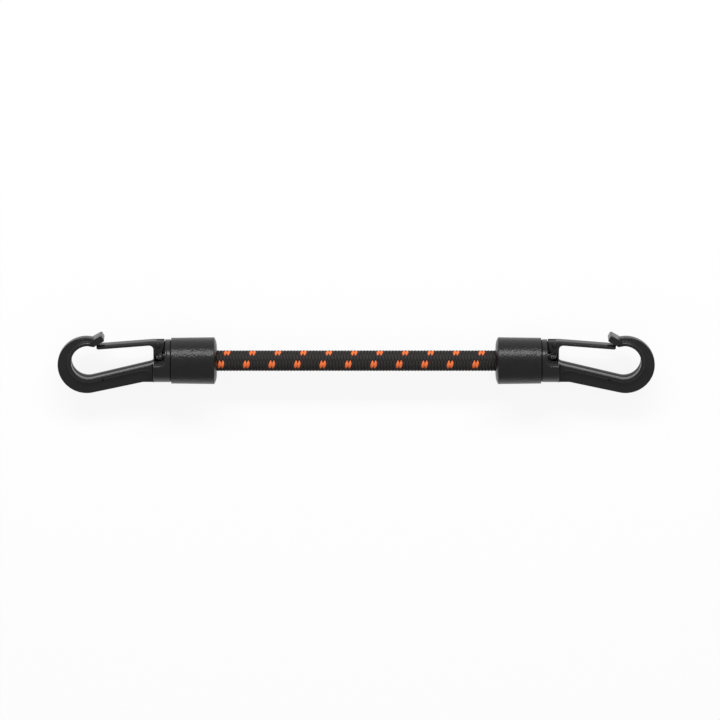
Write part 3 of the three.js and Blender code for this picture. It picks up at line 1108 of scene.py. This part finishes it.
@dataclass
class HookBarrel:
    """Barrel of the hook, with the gate's pocket, the pin's lug and the spring's bore and collar, a
    dark cover that stands in for the shade over the spring.
    """

    ends: EndSizes
    edge_round: float = 0.12
    edge_steps: int = 5
    seam_radius: float = 8.55
    seam_play: float = 0.04
    rim_width: float = 0.85
    rim_depth: float = 0.45
    rim_edge: float = 0.15
    side_start: float = 2.0
    side_reach: float = 2.0
    trench_drop: float = 0.9
    lead_steps: int = 29
    bend_steps: int = 23
    rear_steps: int = 25
    sides: int = 260
    bore_radius: float = 1.75
    bore_sides: int = 40
    lug_half: float = 0.7
    lug_radius: float = 1.6
    lug_gap: float = 0.3
    lug_root: float = 1.0
    lug_crest: float = 1.0
    lug_round: float = 0.1
    lug_steps: int = 24
    web_bottom: float = 3.36
    collar_inner: float = 1.6
    collar_outer: float = 2.0
    collar_length: float = 1.5
    collar_root: float = 0.4
    collar_start: float = math.radians(-15)
    collar_steps: int = 40
    voxel: float = 0.16
    softening: int = 2

    def floor(self, along: np.ndarray, low: float, radius: float) -> np.ndarray:
        """Height of a pocket's floor: level, then a quarter circle up to the pocket's wall.

        Args:
            along: Places along the cord.
            low: Height of the level part.
            radius: Radius of the corner.

        Returns:
            The height at each place, and no limit past the wall.
        """
        bent = np.clip((along - self.ends.pocket_x + radius) / radius, 0.0, 1.0)
        height = low + radius * (1 - np.sqrt(1 - bent**2))
        return np.where(along < self.ends.pocket_x, height, np.inf)

    def profile(self) -> np.ndarray:
        """Outside of the barrel, with rounded edges and a narrow neck that fills the seam behind it.

        Returns:
            Rows of distance along the cord and radius, closest where the pocket's wall bends.
        """
        ends = self.ends
        quarter = np.linspace(0.0, QUARTER, self.edge_steps + 1)
        inset = self.edge_round * (1 - np.cos(quarter))
        radius = ends.barrel_radius - self.edge_round * (1 - np.sin(quarter))
        front = points_of(ends.face_x + inset, radius)
        back = points_of(ends.shoulder_x - inset[::-1], radius[::-1])
        seam_x = np.array([ends.shoulder_x, ends.sleeve_back_x - self.seam_play])
        corner_x = ends.pocket_x - ends.pocket_radius
        bend = np.sin(np.linspace(0.0, QUARTER, self.bend_steps + 1))
        middle_x = np.concatenate([
            np.linspace(front[-1, 0], corner_x, self.lead_steps + 1)[1:-1],
            corner_x + ends.pocket_radius * bend,
            np.linspace(ends.pocket_x, back[0, 0], self.rear_steps + 1),
        ])
        middle = points_of(middle_x, ends.barrel_radius)
        return np.concatenate([front, middle, back[1:], points_of(seam_x, self.seam_radius)])

    def barrel(self) -> Skin:
        """Barrel with the gate's pocket and the spring's bore.

        A circle is carried along the cord. Its height is held down to the
        pocket's floor, which curves up to a wall and is lower in a trench
        along the middle. A sunk rim follows the pocket's edge on both sides.

        Returns:
            The barrel's skin.
        """
        ends = self.ends
        along, radius = self.profile().T
        trench = self.floor(along, ends.pocket_floor - self.trench_drop, ends.pocket_radius)
        window = self.floor(along, ends.sill, ends.sill_radius)
        angle = round_angles(self.sides)
        x = along[:, None]
        z = radius[:, None] * np.cos(angle)
        lid = np.where(np.abs(z) < ends.trench_half, trench[:, None], window[:, None])
        y = np.minimum(radius[:, None] * np.sin(angle), lid)
        past_x = np.maximum(x - ends.pocket_x + ends.sill_radius, 0.0)
        past_y = np.maximum(ends.sill + ends.sill_radius - y, 0.0)
        from_pocket = np.hypot(past_x, past_y) - ends.sill_radius
        in_rim = np.clip((self.rim_width - from_pocket) / self.rim_edge, 0.0, 1.0)
        sideways = np.clip((np.abs(z) - self.side_start) / self.side_reach, 0.0, 1.0)
        sunk = z - np.sign(z) * self.rim_depth * in_rim * sideways
        bore_x = np.array([ends.face_x, ends.spring_end_x])
        bore = turned(points_of(bore_x, self.bore_radius), self.bore_sides)
        return cut(ring_skin(points_of(x, y, sunk)), bore.moved(0.0, ends.spring_height, 0.0))

    def lug(self) -> Skin:
        """Ear in the pocket that carries the pin, with a web below that clears the open gate.

        Returns:
            The round ear, drawn back into the pocket's wall, and its web.
        """
        ends = self.ends
        pivot_x, pivot_y = ends.pivot
        half_round = arc(pivot_x, pivot_y, self.lug_radius, QUARTER, 3 * QUARTER, self.lug_steps)
        back_x = ends.pocket_x + self.lug_root
        back = [[back_x, pivot_y - self.lug_radius], [back_x, pivot_y + self.lug_crest]]
        outline = np.concatenate([half_round, back])
        ear = rounded_plate(outline, -self.lug_half, self.lug_half, self.lug_round)
        web_x = pivot_x + self.lug_gap / math.cos(ends.swing)
        fall = (pivot_y - self.web_bottom) * math.tan(ends.swing)
        web = np.array([
            [web_x, pivot_y],
            [web_x + fall, self.web_bottom],
            [back_x, self.web_bottom],
            [back_x, pivot_y],
        ])
        return ear.joined(slab(web, -self.lug_half, self.lug_half))

    def root(self) -> Skin:
        """Barrel and lug, melted into one."""
        return fuse([self.barrel(), self.lug()], self.voxel, self.softening)

    def collar(self) -> Skin:
        """Collar round the end of the spring: a square section carried round most of a circle. It is a
        dark cover standing in for shade: it closes the see-through gap above the spring and hides the
        spring's far end, where the pocket lies in shade.

        Returns:
            The collar's skin, which is open below.
        """
        ends = self.ends
        end = math.pi - self.collar_start
        angle = np.linspace(self.collar_start, end, self.collar_steps + 1)[:, None]
        front_x = ends.pocket_x - self.collar_length
        back_x = ends.pocket_x + self.collar_root
        along = np.array([front_x, front_x, back_x, back_x])
        radius = np.array([self.collar_inner, self.collar_outer, self.collar_outer, self.collar_inner])
        rise = ends.spring_height + radius * np.sin(angle)
        return ring_skin(points_of(along, rise, radius * np.cos(angle)))


@dataclass
class Collet:
    """Split collet behind the barrel that grips the cord inside the sleeve."""

    ends: EndSizes
    radius: float = 7.2
    end_x: float = -62.5
    bore_end_x: float = -74.4
    bore: float = 4.9
    grip_radius: float = 4.4
    tooth_pitch: float = 2.1
    tooth_face: float = 0.01
    teeth: int = 4
    root_overlap: float = 0.8
    root_step: float = 0.3
    ridge_place: float = 2.1
    ridge_half: float = 0.6
    ridge_height: float = 0.25
    slot_half: float = 0.6
    slot_length: float = 8.5
    slot_overrun: float = 2.0
    sides: int = 72

    def skin(self) -> Skin:
        """A turned tube with a ridge outside and rings of teeth inside, slotted crosswise.

        Returns:
            The collet's skin.
        """
        shoulder_x = self.ends.shoulder_x
        ridge_x = shoulder_x + self.ridge_place
        tip = self.end_x - self.tooth_pitch * np.arange(self.teeth)
        tips = points_of(tip, self.grip_radius)
        gullets = points_of(tip - self.tooth_pitch + self.tooth_face, self.bore)
        profile = np.concatenate([
            [[shoulder_x - self.root_overlap, self.radius - self.root_step]],
            [[ridge_x - self.ridge_half, self.radius]],
            [[ridge_x, self.radius + self.ridge_height]],
            [[ridge_x + self.ridge_half, self.radius]],
            [[self.end_x, self.radius]],
            np.stack([tips, gullets], 1).reshape(-1, 2),
            [[self.bore_end_x, self.bore]],
        ])
        along = (self.end_x - self.slot_length, self.end_x + self.slot_overrun)
        wide = (-2 * self.radius, 2 * self.radius)
        narrow = (-self.slot_half, self.slot_half)
        return cut(turned(profile, self.sides), block(along, wide, narrow), block(along, narrow, wide))


def hook_skin(ends: EndSizes) -> Skin:
    """Whole hook moulding: barrel, band, nose, collar and collet, each run into its neighbour.

    Args:
        ends: The sizes of the end.

    Returns:
        The moulding's skin.
    """
    band = HookBand(ends)
    barrel = HookBarrel(ends)
    return barrel.root().joined(band.skin(), band.nose(), barrel.collar(), Collet(ends).skin())


@dataclass
class Gate:
    """Sprung lever across the hook's mouth, forked at its heel round the lug."""

    ends: EndSizes
    half_depth: float = 3.0
    thickness: float = 1.6
    top: float = 9.0
    ease_start: float = 1.7
    ease_drop: float = 0.55
    ease_overrun: float = 1.0
    ease_share: float = 1.1
    ease_lid: float = 0.3
    ease_steps: int = 7
    tip_reach: float = 25.7
    tip_radius: float = 1.0
    tip_steps: int = 8
    stop_gap: float = 0.3
    fillet: float = 2.0
    fillet_steps: int = 10
    edge_round: float = 0.25
    running_gap: float = 0.3
    heel_reach: float = 3.5
    heel_steps: int = 8
    leg_bottom: float = 0.5
    slot_half: float = 1.0
    slot_radius: float = 1.9
    slot_steps: int = 24
    pin_hole_radius: float = 0.95
    pin_hole_half: float = 4.0
    round_sides: int = 32
    seat_radius: float = 1.4
    seat_height: float = 0.15
    seat_root: float = 0.3
    nub_radius: float = 0.6
    nub_length: float = 0.5
    nub_bevel: float = 0.2

    def __post_init__(self) -> None:
        """Works out the slope of the gate from the nose that it closes under."""
        ends = self.ends
        self.tip_x = ends.pivot[0] - self.tip_reach
        drop = self.stop_gap / math.cos(ends.nose_rise)
        self.tip_top = ends.nose[1] + (self.tip_x - ends.nose[0]) * math.tan(ends.nose_rise) - drop
        self.fall = (self.top - self.tip_top) / (ends.face_x - self.tip_x)
        self.knuckle = ends.pocket_x - self.running_gap - ends.pivot[0]

    def under(self, x: float) -> np.ndarray:
        """Point on the gate's lower edge at a place along the cord."""
        top = self.top + (x - self.ends.face_x) * self.fall
        return np.array([x, top - self.thickness * math.hypot(1.0, self.fall)])

    def outline(self) -> np.ndarray:
        """Side outline: rounded tip, lower edge, leg, heel cut back to clear its swing, and top edge.

        Returns:
            Points in order round it.
        """
        ends = self.ends
        pivot_x, pivot_y = ends.pivot
        corner = self.under(self.tip_x)
        tip_end = self.under(self.tip_x + self.tip_radius)
        tip = curve(corner + [0.0, self.tip_radius], corner, tip_end, self.tip_steps)
        fillet_top = self.under(ends.face_x - self.fillet)
        fillet_foot = np.array([ends.face_x, fillet_top[1] - self.fillet])
        fillet_corner = np.array([ends.face_x, fillet_top[1]])
        fillet = curve(fillet_top, fillet_corner, fillet_foot, self.fillet_steps)
        heel_y = pivot_y - self.heel_reach
        heel_room = self.knuckle - self.heel_reach * math.sin(ends.swing)
        leg = [
            [ends.face_x, self.leg_bottom],
            [ends.leg_x, self.leg_bottom],
            [ends.leg_x, heel_y],
            [pivot_x + heel_room / math.cos(ends.swing), heel_y],
        ]
        knuckle = arc(pivot_x, pivot_y, self.knuckle, -ends.swing, 0.0, self.heel_steps)
        crown = [[pivot_x + self.knuckle, self.top], [ends.face_x, self.top]]
        return np.concatenate([[[self.tip_x, self.tip_top]], tip, fillet, leg, knuckle, crown])

    def easing(self, sign: int) -> Skin:
        """What is taken off an upper edge: a bar along it whose lower face falls outwards as a square.

        Args:
            sign: 1 for the edge towards the front, -1 for the other.

        Returns:
            The bar's skin.
        """
        overrun = self.ease_overrun
        x = np.array([self.tip_x - overrun, self.ends.face_x, self.ends.pocket_x + overrun])
        top = self.top + np.minimum(x - self.ends.face_x, 0.0) * self.fall
        share = np.linspace(0.0, self.ease_share, self.ease_steps + 1)
        reach = (self.half_depth - self.ease_start) * np.append(share, [self.ease_share, 0.0])
        drop = np.append(-self.ease_drop * share**2, [self.ease_lid, self.ease_lid])
        return ring_skin(points_of(x[:, None], top[:, None] + drop, sign * (self.ease_start + reach)))

    def seat(self) -> Skin:
        """Round seat of the spring on the leg, with a nub in its middle that the spring goes round.

        Returns:
            The seat's skin.
        """
        leg_x = self.ends.leg_x
        nub_x = leg_x + self.nub_length
        profile = np.array([
            [leg_x - self.seat_root, self.seat_radius],
            [leg_x + self.seat_height, self.seat_radius],
            [leg_x + self.seat_height, self.nub_radius],
            [nub_x - self.nub_bevel, self.nub_radius],
            [nub_x, self.nub_radius - self.nub_bevel],
        ])
        return turned(profile, self.round_sides).moved(0.0, self.ends.spring_height, 0.0)

    def skin(self) -> Skin:
        """Lever: a plate with eased edges, slotted for the lug and bored for the pin, and its seat.

        Returns:
            The gate's skin.
        """
        ends = self.ends
        pivot_x, pivot_y = ends.pivot
        lever = rounded_plate(self.outline(), -self.half_depth, self.half_depth, self.edge_round)
        slot_round = arc(pivot_x, pivot_y, self.slot_radius, QUARTER, 3 * QUARTER, self.slot_steps)
        low_y = pivot_y - self.knuckle - self.slot_radius
        high_y = 2 * ends.barrel_radius
        slot_back = [
            [pivot_x, low_y],
            [ends.pocket_x, low_y],
            [ends.pocket_x, high_y],
            [pivot_x, high_y],
        ]
        slot = slab(np.concatenate([slot_round, slot_back]), -self.slot_half, self.slot_half)
        half = self.pin_hole_half
        hole = pillar(ends.pivot, self.pin_hole_radius, -half, half, self.round_sides)
        return cut(lever, self.easing(1), self.easing(-1), slot, hole).joined(self.seat())


@dataclass
class GatePin:
    """Pin through the gate's cheeks, with a low domed head at each end."""

    ends: EndSizes
    radius: float = 0.8
    head_radius: float = 1.1
    half_length: float = 3.45
    head_height: float = 0.3
    head_flatness: float = 0.5
    crown_radius: float = 0.05
    neck: float = 0.02
    head_steps: int = 7
    sides: int = 40

    def skin(self) -> Skin:
        """Turns the pin's profile about its own axis, which is then laid across the hook's plane.

        Returns:
            The pin's skin.
        """
        under_head = self.half_length - self.head_height
        quarter = np.linspace(0.0, QUARTER, self.head_steps + 1)
        dome_along = under_head + self.head_height * np.sin(quarter)
        dome = points_of(dome_along, self.head_radius * np.cos(quarter) ** self.head_flatness)
        dome[-1, 1] = self.crown_radius
        shank = [[0.0, self.radius], [under_head - self.neck, self.radius]]
        half = np.concatenate([shank, dome])
        along_cord = turned(np.concatenate([half[:0:-1] * [-1.0, 1.0], half]), self.sides)
        return Skin(along_cord.points[:, [1, 2, 0]], along_cord.faces).moved(*self.ends.pivot, 0.0)


@dataclass
class GateSpring:
    """Coil spring between the gate's leg and the bottom of its bore, with closed end coils."""

    ends: EndSizes
    outer_radius: float = 1.4
    wire_radius: float = 0.25
    seat_gap: float = 0.2
    turns: float = 11.0
    closed_turns: float = 1.0
    closed_pitch: float = 2.1
    steps_a_turn: int = 36
    easing_steps: int = 9
    sides: int = 10

    def skin(self) -> Skin:
        """Winds the wire: a circle in Y and Z that runs along the cord, slowly in the closed end coils.

        The change of pitch is eased by a running mean.

        Returns:
            The spring's skin.
        """
        ends = self.ends
        start = ends.leg_x + self.seat_gap + self.wire_radius
        end = ends.spring_end_x - self.seat_gap - self.wire_radius
        turn = np.linspace(0.0, self.turns, int(self.turns * self.steps_a_turn) + 1)
        shut = self.closed_pitch * self.wire_radius * self.closed_turns
        knots = [0.0, self.closed_turns, self.turns - self.closed_turns, self.turns]
        x = np.interp(turn, knots, [start, start + shut, end - shut, end])
        window = 2 * self.easing_steps + 1
        padded = np.pad(x, self.easing_steps, mode="reflect", reflect_type="odd")
        x = np.convolve(padded, np.full(window, 1 / window), "valid")
        angle = 2 * np.pi * turn
        outward = points_of(0.0, np.cos(angle), np.sin(angle))
        centres = (self.outer_radius - self.wire_radius) * outward
        centres += points_of(x, ends.spring_height, 0.0)
        return tube(centres, outward, self.wire_radius, self.sides)


@dataclass
class ClampSleeve:
    """Grained sleeve over the collet, a little wider at its crowned mouth."""

    ends: EndSizes
    back_radius: float = 9.6
    mouth_radius: float = 9.85
    wall: float = 2.1
    lip: float = 3.9
    hole_radius: float = 4.5
    back_round: float = 0.15
    back_bevel: tuple[float, float] = (0.3, 0.2)
    mouth_round: float = 0.4
    mouth_angle: float = 0.2
    mouth_dome: float = 0.9
    dome_power: int = 3
    hole_round: float = 0.4
    outside_steps: int = 23
    mouth_steps: int = 10
    dome_steps: int = 19
    edge_steps: int = 8
    sides: int = 180

    def skin(self) -> Skin:
        """Turns the sleeve's closed profile about the cord.

        The profile has rounded edges, an outside that widens evenly and a
        mouth that falls off outwards as a cube.

        Returns:
            The sleeve's skin.
        """
        back_x = self.ends.sleeve_back_x
        mouth_x = self.ends.mouth_x
        bore = self.back_radius - self.wall
        soft = self.back_round
        back_edge = arc(back_x + soft, self.back_radius - soft, soft, math.pi, QUARTER, self.edge_steps)
        rim_x = mouth_x - self.mouth_dome - self.mouth_round
        rim_radius = self.mouth_radius - self.mouth_round
        outside_x = np.linspace(back_edge[-1, 0], rim_x, self.outside_steps + 1)[1:-1]
        share = (outside_x - back_x) / (mouth_x - back_x)
        flare = self.mouth_radius - self.back_radius
        outside = points_of(outside_x, self.back_radius + flare * share)
        rim = arc(rim_x, rim_radius, self.mouth_round, QUARTER, self.mouth_angle, self.mouth_steps)
        inner = self.hole_radius + self.hole_round
        fall = np.linspace(1.0, 0.0, self.dome_steps + 1)
        dome_x = mouth_x - self.mouth_dome * fall**self.dome_power
        dome = points_of(dome_x, inner + (rim_radius - inner) * fall)
        hole_x = mouth_x - self.hole_round
        hole_edge = arc(hole_x, inner, self.hole_round, 0.0, -QUARTER, self.edge_steps)[1:]
        inside = np.array([
            [mouth_x - self.lip, self.hole_radius],
            [mouth_x - self.lip, bore],
            [back_x + self.back_bevel[0], bore],
            [back_x, bore + self.back_bevel[1]],
        ])
        profile = np.concatenate([back_edge, outside, rim, dome, hole_edge, inside])
        return turned(profile, self.sides, RingEnds.LOOPED)


@dataclass
class HookEnd:
    """One end of the cord: hook, gate, pin, spring and sleeve."""

    side: Side
    shapes: dict[str, Skin]
    ends: EndSizes
    spring_keep: float = 0.6

    def build(self, finishes: dict[str, bpy.types.Material]) -> None:
        """Places the pieces of this end, dresses them and lets them ride on their bodies.

        Args:
            finishes: The materials by the record's slot.
        """
        label = self.side.label
        plan = [
            ("hook_body", f"{label}_end", "hook_nylon"),
            ("gate", f"{label}_gate_arm", "hook_nylon"),
            ("gate_pin", f"{label}_end", "pin_steel"),
            ("gate_spring", f"{label}_end", "spring_steel"),
            ("clamp_sleeve", f"{label}_end", "grained_nylon"),
        ]
        for kind, body, slot in plan:
            name = f"{label}_{kind}"
            mesh = make_mesh(f"{name}_skin", self.shapes[kind].placed(self.side))
            piece = add_piece(f"{name}_dressed", mesh, finishes[slot])
            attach(piece, body)
            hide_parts(name)
            if kind == "gate_spring":
                self.soften_spring(piece)

    def soften_spring(self, spring: bpy.types.Object) -> None:
        """Gives the spring a mesh of its own.

        Args:
            spring: The finished spring.
        """
        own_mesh(spring)


@dataclass
class Cord:
    """Elastic cord: a braided sheath of sixteen yarns over a bundle of rubber strands."""

    ends: EndSizes
    radius: float = 4.1
    end_x: float = -74.1
    carriers: int = 8
    floats_a_turn: int = 4
    flecked_yarns: int = 2
    flecked_stagger: float = 0.5
    lay: float = 10.65
    fleck_x: float = -56.6
    fleck_angle: float = math.radians(102)
    crest_radius: float = 4.38
    yarn_half_width: float = 0.68
    yarn_pinch: float = 0.7
    yarn_crown: float = 0.34
    yarn_low: float = 0.16
    weave_depth: float = 0.2
    weave_snap: float = 2.4
    float_bias: float = 0.15
    float_straighten: float = 0.21
    stations: int = 740
    pattern_shift: float = 7.3
    liner_overlap: float = 0.5
    liner_sides: int = 32
    strand_radius: float = 0.6
    strand_spacing: float = 1.3
    strand_sides: int = 14
    rod_steps: int = 59
    route_points: int = 40

    def yarns(self, turn: int) -> np.ndarray:
        """The yarns of one direction of the braid.

        A yarn winds round the cord at a steady lay. Its radius swings in and
        out four times a turn with the place round the cord, so that all its
        floats lie in straight rows, and the other direction swings the other
        way. Across a yarn the swing is taken along the yarns that it crosses,
        so that they cut its floats off to points. A sine of the same place
        shifts it along the cord, which stands its floats more upright. Its
        section is flat below and crowned above, and widest on a float.

        Args:
            turn: 1 for the flecked direction, -1 for the other.

        Returns:
            Points by yarn, by place along it, by place round its section.
        """
        x = np.linspace(self.end_x, -self.end_x, self.stations)[None, :]
        stagger = self.flecked_stagger if turn > 0 else 0.0
        shift = (np.arange(self.carriers) - stagger) * self.lay / self.carriers
        angle = self.fleck_angle - turn * 2 * np.pi * (x - self.fleck_x - shift[:, None]) / self.lay
        middle = self.crest_radius - self.weave_depth - self.yarn_crown
        out = points_of(0.0, np.cos(angle), np.sin(angle))
        beat = self.floats_a_turn * (angle - self.fleck_angle)
        inside = np.clip((-self.end_x - np.abs(x)) / self.lay, 0.0, 1.0)
        centre = out * middle
        centre[..., 0] = x + inside * self.float_straighten * np.sin(beat)
        across = np.cross(unit(np.gradient(centre, axis=1)), out)
        upper = np.array([1.0, 0.76, 0.28, -0.28, -0.76, -1.0])
        lower = np.array([-0.5, 0.5])
        share = np.concatenate([upper, lower])
        crowned = np.concatenate([np.sqrt(1 - upper**2), np.zeros_like(lower)])
        sunk = np.concatenate([np.zeros_like(upper), np.ones_like(lower)])
        afloat = np.clip(turn * np.cos(beat), 0.0, 1.0)
        half_width = self.yarn_half_width * (self.yarn_pinch + (1 - self.yarn_pinch) * afloat)
        wide = half_width[..., None] * share
        turn_across = np.sum(across * np.cross([1.0, 0.0, 0.0], out), axis=-1) / middle
        lean = (turn_across - turn * 2 * np.pi * across[..., 0] / self.lay) / 2
        cut_beat = beat[..., None] + self.floats_a_turn * lean[..., None] * wide
        swing = turn * np.tanh(self.weave_snap * (np.cos(cut_beat) - self.float_bias))
        crown = self.yarn_low + (self.yarn_crown - self.yarn_low) * np.clip(swing, 0.0, 1.0)
        high = self.weave_depth * swing + crown * crowned - self.yarn_low * sunk
        return (
            centre[:, :, None]
            + wide[..., None] * across[:, :, None]
            + high[..., None] * out[:, :, None]
        )

    def rod(self, radius: float, sides: int) -> Skin:
        """Plain round rod as long as the cord."""
        along = np.linspace(self.end_x, -self.end_x, self.rod_steps + 1)
        return turned(points_of(along, radius), sides)

    def sheath(self, finish: bpy.types.Material) -> bpy.types.Object:
        """Makes the braid as one piece, with a liner below it and the marks of its flecked yarns.

        Args:
            finish: The braid's material.

        Returns:
            The sheath.
        """
        grids = np.concatenate([self.yarns(1), self.yarns(-1)])
        yarns, stations, sides = grids.shape[:3]
        each = stations * sides
        quads = ring_quads(stations, sides)[None] + each * np.arange(yarns)[:, None, None]
        yarn_bottom = self.crest_radius - 2 * self.weave_depth - self.yarn_crown
        liner = self.rod(yarn_bottom - self.liner_overlap * self.yarn_low, self.liner_sides)
        caps = [list(range(k * each + sides - 1, k * each - 1, -1)) for k in range(yarns)]
        caps += [list(range((k + 1) * each - sides, (k + 1) * each)) for k in range(yarns)]
        skin = Skin(grids.reshape(-1, 3), quads.reshape(-1, 4).tolist() + caps).joined(liner)
        mesh = make_mesh("cord_sheath_braid", skin.placed(Side.LEFT), outward=False)
        self.mark_yarns(mesh, yarns, stations, sides)
        return add_piece("cord_sheath_braided", mesh, finish)

    def mark_yarns(self, mesh: bpy.types.Mesh, yarns: int, stations: int, sides: int) -> None:
        """Gives each yarn a UV map, in millimetres along and turns across, and marks the flecked pair.

        Args:
            mesh: The braid's mesh, whose first faces are the yarns' quads in order.
            yarns: How many yarns it has.
            stations: Places along each.
            sides: Places round each.
        """
        length = math.hypot(2 * math.pi * self.radius, self.lay) / self.lay * -2 * self.end_x
        row = np.arange(stations - 1)[None, :, None, None] + np.array([0, 1, 1, 0])
        column = np.arange(sides)[None, None, :, None] + np.array([0, 0, 1, 1])
        apart = self.pattern_shift * np.arange(yarns)[:, None, None, None]
        spots = points_of(row * length / (stations - 1), column / sides + apart).reshape(-1, 2)
        place = np.zeros((len(mesh.loops), 2), np.float32)
        place[: len(spots)] = spots
        mesh.uv_layers.new(name="yarn").data.foreach_set("uv", place.ravel())
        fleck = np.zeros(len(mesh.vertices), np.float32)
        fleck[: self.flecked_yarns * stations * sides] = 1.0
        mesh.attributes.new("fleck", "FLOAT", "POINT").data.foreach_set("value", fleck)

    def core(self, finish: bpy.types.Material) -> bpy.types.Object:
        """Makes the rubber strands, packed in a ring of six and one of twelve round the middle one.

        Args:
            finish: The strands' material.

        Returns:
            The bundle as one piece.
        """
        sixth = round_angles(6)
        first = points_of(np.cos(sixth), np.sin(sixth))
        second = np.concatenate([2 * first, first + np.roll(first, -1, axis=0)])
        places = self.strand_spacing * np.concatenate([first, second])
        one = self.rod(self.strand_radius, self.strand_sides)
        skin = one.joined(*(one.moved(0.0, y, z) for y, z in places))
        mesh = make_mesh("rubber_strands", skin.placed(Side.LEFT))
        return add_piece("rubber_strand_bundle", mesh, finish)

    def build(self, finishes: dict[str, bpy.types.Material]) -> None:
        """Args:
            finishes: The materials by the record's slot.
        """
        sheath = self.sheath(finishes["braid"])
        core = self.core(finishes["latex"])
        strands = sorted(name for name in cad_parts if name.startswith("rubber_strand_"))
        for piece, slot, nodes in ((sheath, "braid", ["cord_sheath"]), (core, "latex", strands)):
            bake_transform(piece)
            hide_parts(*nodes)


@dataclass
class Studio:
    """Camera at the photograph's angle, a pale floor and plain soft light, in metres."""

    tilt: float = math.radians(15.5)
    frame_width: float = 0.3014
    field_of_view: float = math.radians(6.0)
    nearest: float = 0.05
    furthest: float = 50.0
    aim_x: float = 0.0016
    aim_rise: float = 0.00028
    floor_half: float = 3.0
    floor_base: Colour = (0.12, 0.12, 0.12, 1.0)
    floor_roughness: float = 0.9
    floor_glow: float = 0.88
    white: Colour = (1.0, 1.0, 1.0, 1.0)
    sky: float = 0.5
    key_height: float = math.radians(34)
    key_distance: float = 0.9
    key_long: float = 1.0
    key_deep: float = 0.14
    key_power: float = 7.8

    def camera(self) -> None:
        """Places a long lens that looks down on the hooks, tilted towards their gates."""
        back = Vector((0.0, math.sin(self.tilt), math.cos(self.tilt)))
        up = Vector((0.0, math.cos(self.tilt), -math.sin(self.tilt)))
        right = Vector((1.0, 0.0, 0.0))
        distance = self.frame_width / 2 / math.tan(self.field_of_view / 2)
        aim = Vector((self.aim_x, AXIS[1], AXIS[2])) + up * self.aim_rise
        lens = bpy.data.cameras.new("long_lens")
        lens.sensor_fit = "AUTO"
        lens.angle = self.field_of_view
        lens.clip_start = self.nearest
        lens.clip_end = self.furthest
        camera = add_object("camera", lens)
        turned_view = Matrix((right, up, back)).transposed().to_4x4()
        camera.matrix_world = Matrix.Translation(aim + back * distance) @ turned_view
        bpy.context.scene.camera = camera

    def floor(self) -> None:
        """Lays a plain pale floor under the cord, which reads as white and keeps the shadow."""
        half = self.floor_half
        corners = [(-half, -half, 0.0), (half, -half, 0.0), (half, half, 0.0), (-half, half, 0.0)]
        mesh = bpy.data.meshes.new("floor")
        mesh.from_pydata(corners, [], [(0, 1, 2, 3)])
        material, graph = new_material("pale_floor")
        ray = graph.add("ShaderNodeLightPath").outputs
        mirrored = graph.math("ADD", ray["Is Glossy Ray"], ray["Is Transmission Ray"])
        seen = graph.math("ADD", ray["Is Camera Ray"], mirrored)
        held = graph.add("ShaderNodeClamp", Value=seen).outputs["Result"]
        graph.surface(
            Base_Color=self.floor_base,
            Roughness=self.floor_roughness,
            Specular_IOR_Level=0.0,
            Emission_Color=self.white,
            Emission_Strength=graph.math("MULTIPLY", held, self.floor_glow),
        )
        mesh.materials.append(material)
        add_object("floor", mesh)

    def light(self) -> None:
        """Sets an even sky and one long soft lamp on the gates' side."""
        world = bpy.data.worlds.new("even_sky")
        world.use_nodes = True
        backdrop = world.node_tree.nodes["Background"].inputs
        backdrop["Color"].default_value = self.white
        backdrop["Strength"].default_value = self.sky
        bpy.context.scene.world = world
        lamp = bpy.data.lights.new("key", "AREA")
        lamp.shape = "RECTANGLE"
        lamp.size = self.key_long
        lamp.size_y = self.key_deep
        lamp.energy = self.key_power
        key = add_object("key", lamp)
        towards = Vector((0.0, math.cos(self.key_height), math.sin(self.key_height)))
        key.location = Vector(AXIS) + towards * self.key_distance
        key.rotation_mode = "QUATERNION"
        key.rotation_quaternion = (-towards).to_track_quat("-Z", "Y")
        key.visible_camera = False

    def build(self) -> None:
        """Sets up the view, the floor and the light."""
        self.camera()
        self.floor()
        self.light()
        bpy.context.scene.view_settings.view_transform = "Standard"


def main() -> None:
    """Builds the studio, the cord and its two ends."""
    logging.basicConfig(level=logging.INFO, format="%(name)s: %(message)s")
    Studio().build()
    effects = SharedEffects(MouldingGrain().build(), HandlingScuffs().build())
    finishes = {slot: finish.build(effects) for slot, finish in MOULDED.items()}
    finishes["braid"] = BRAID.build()
    ends = EndSizes()
    Cord(ends).build(finishes)
    shapes = {
        "hook_body": hook_skin(ends),
        "gate": Gate(ends).skin(),
        "gate_pin": GatePin(ends).skin(),
        "gate_spring": GateSpring(ends).skin(),
        "clamp_sleeve": ClampSleeve(ends).skin(),
    }
    for side in Side:
        HookEnd(side, shapes, ends).build(finishes)


if __name__ == "__main__":
    main()
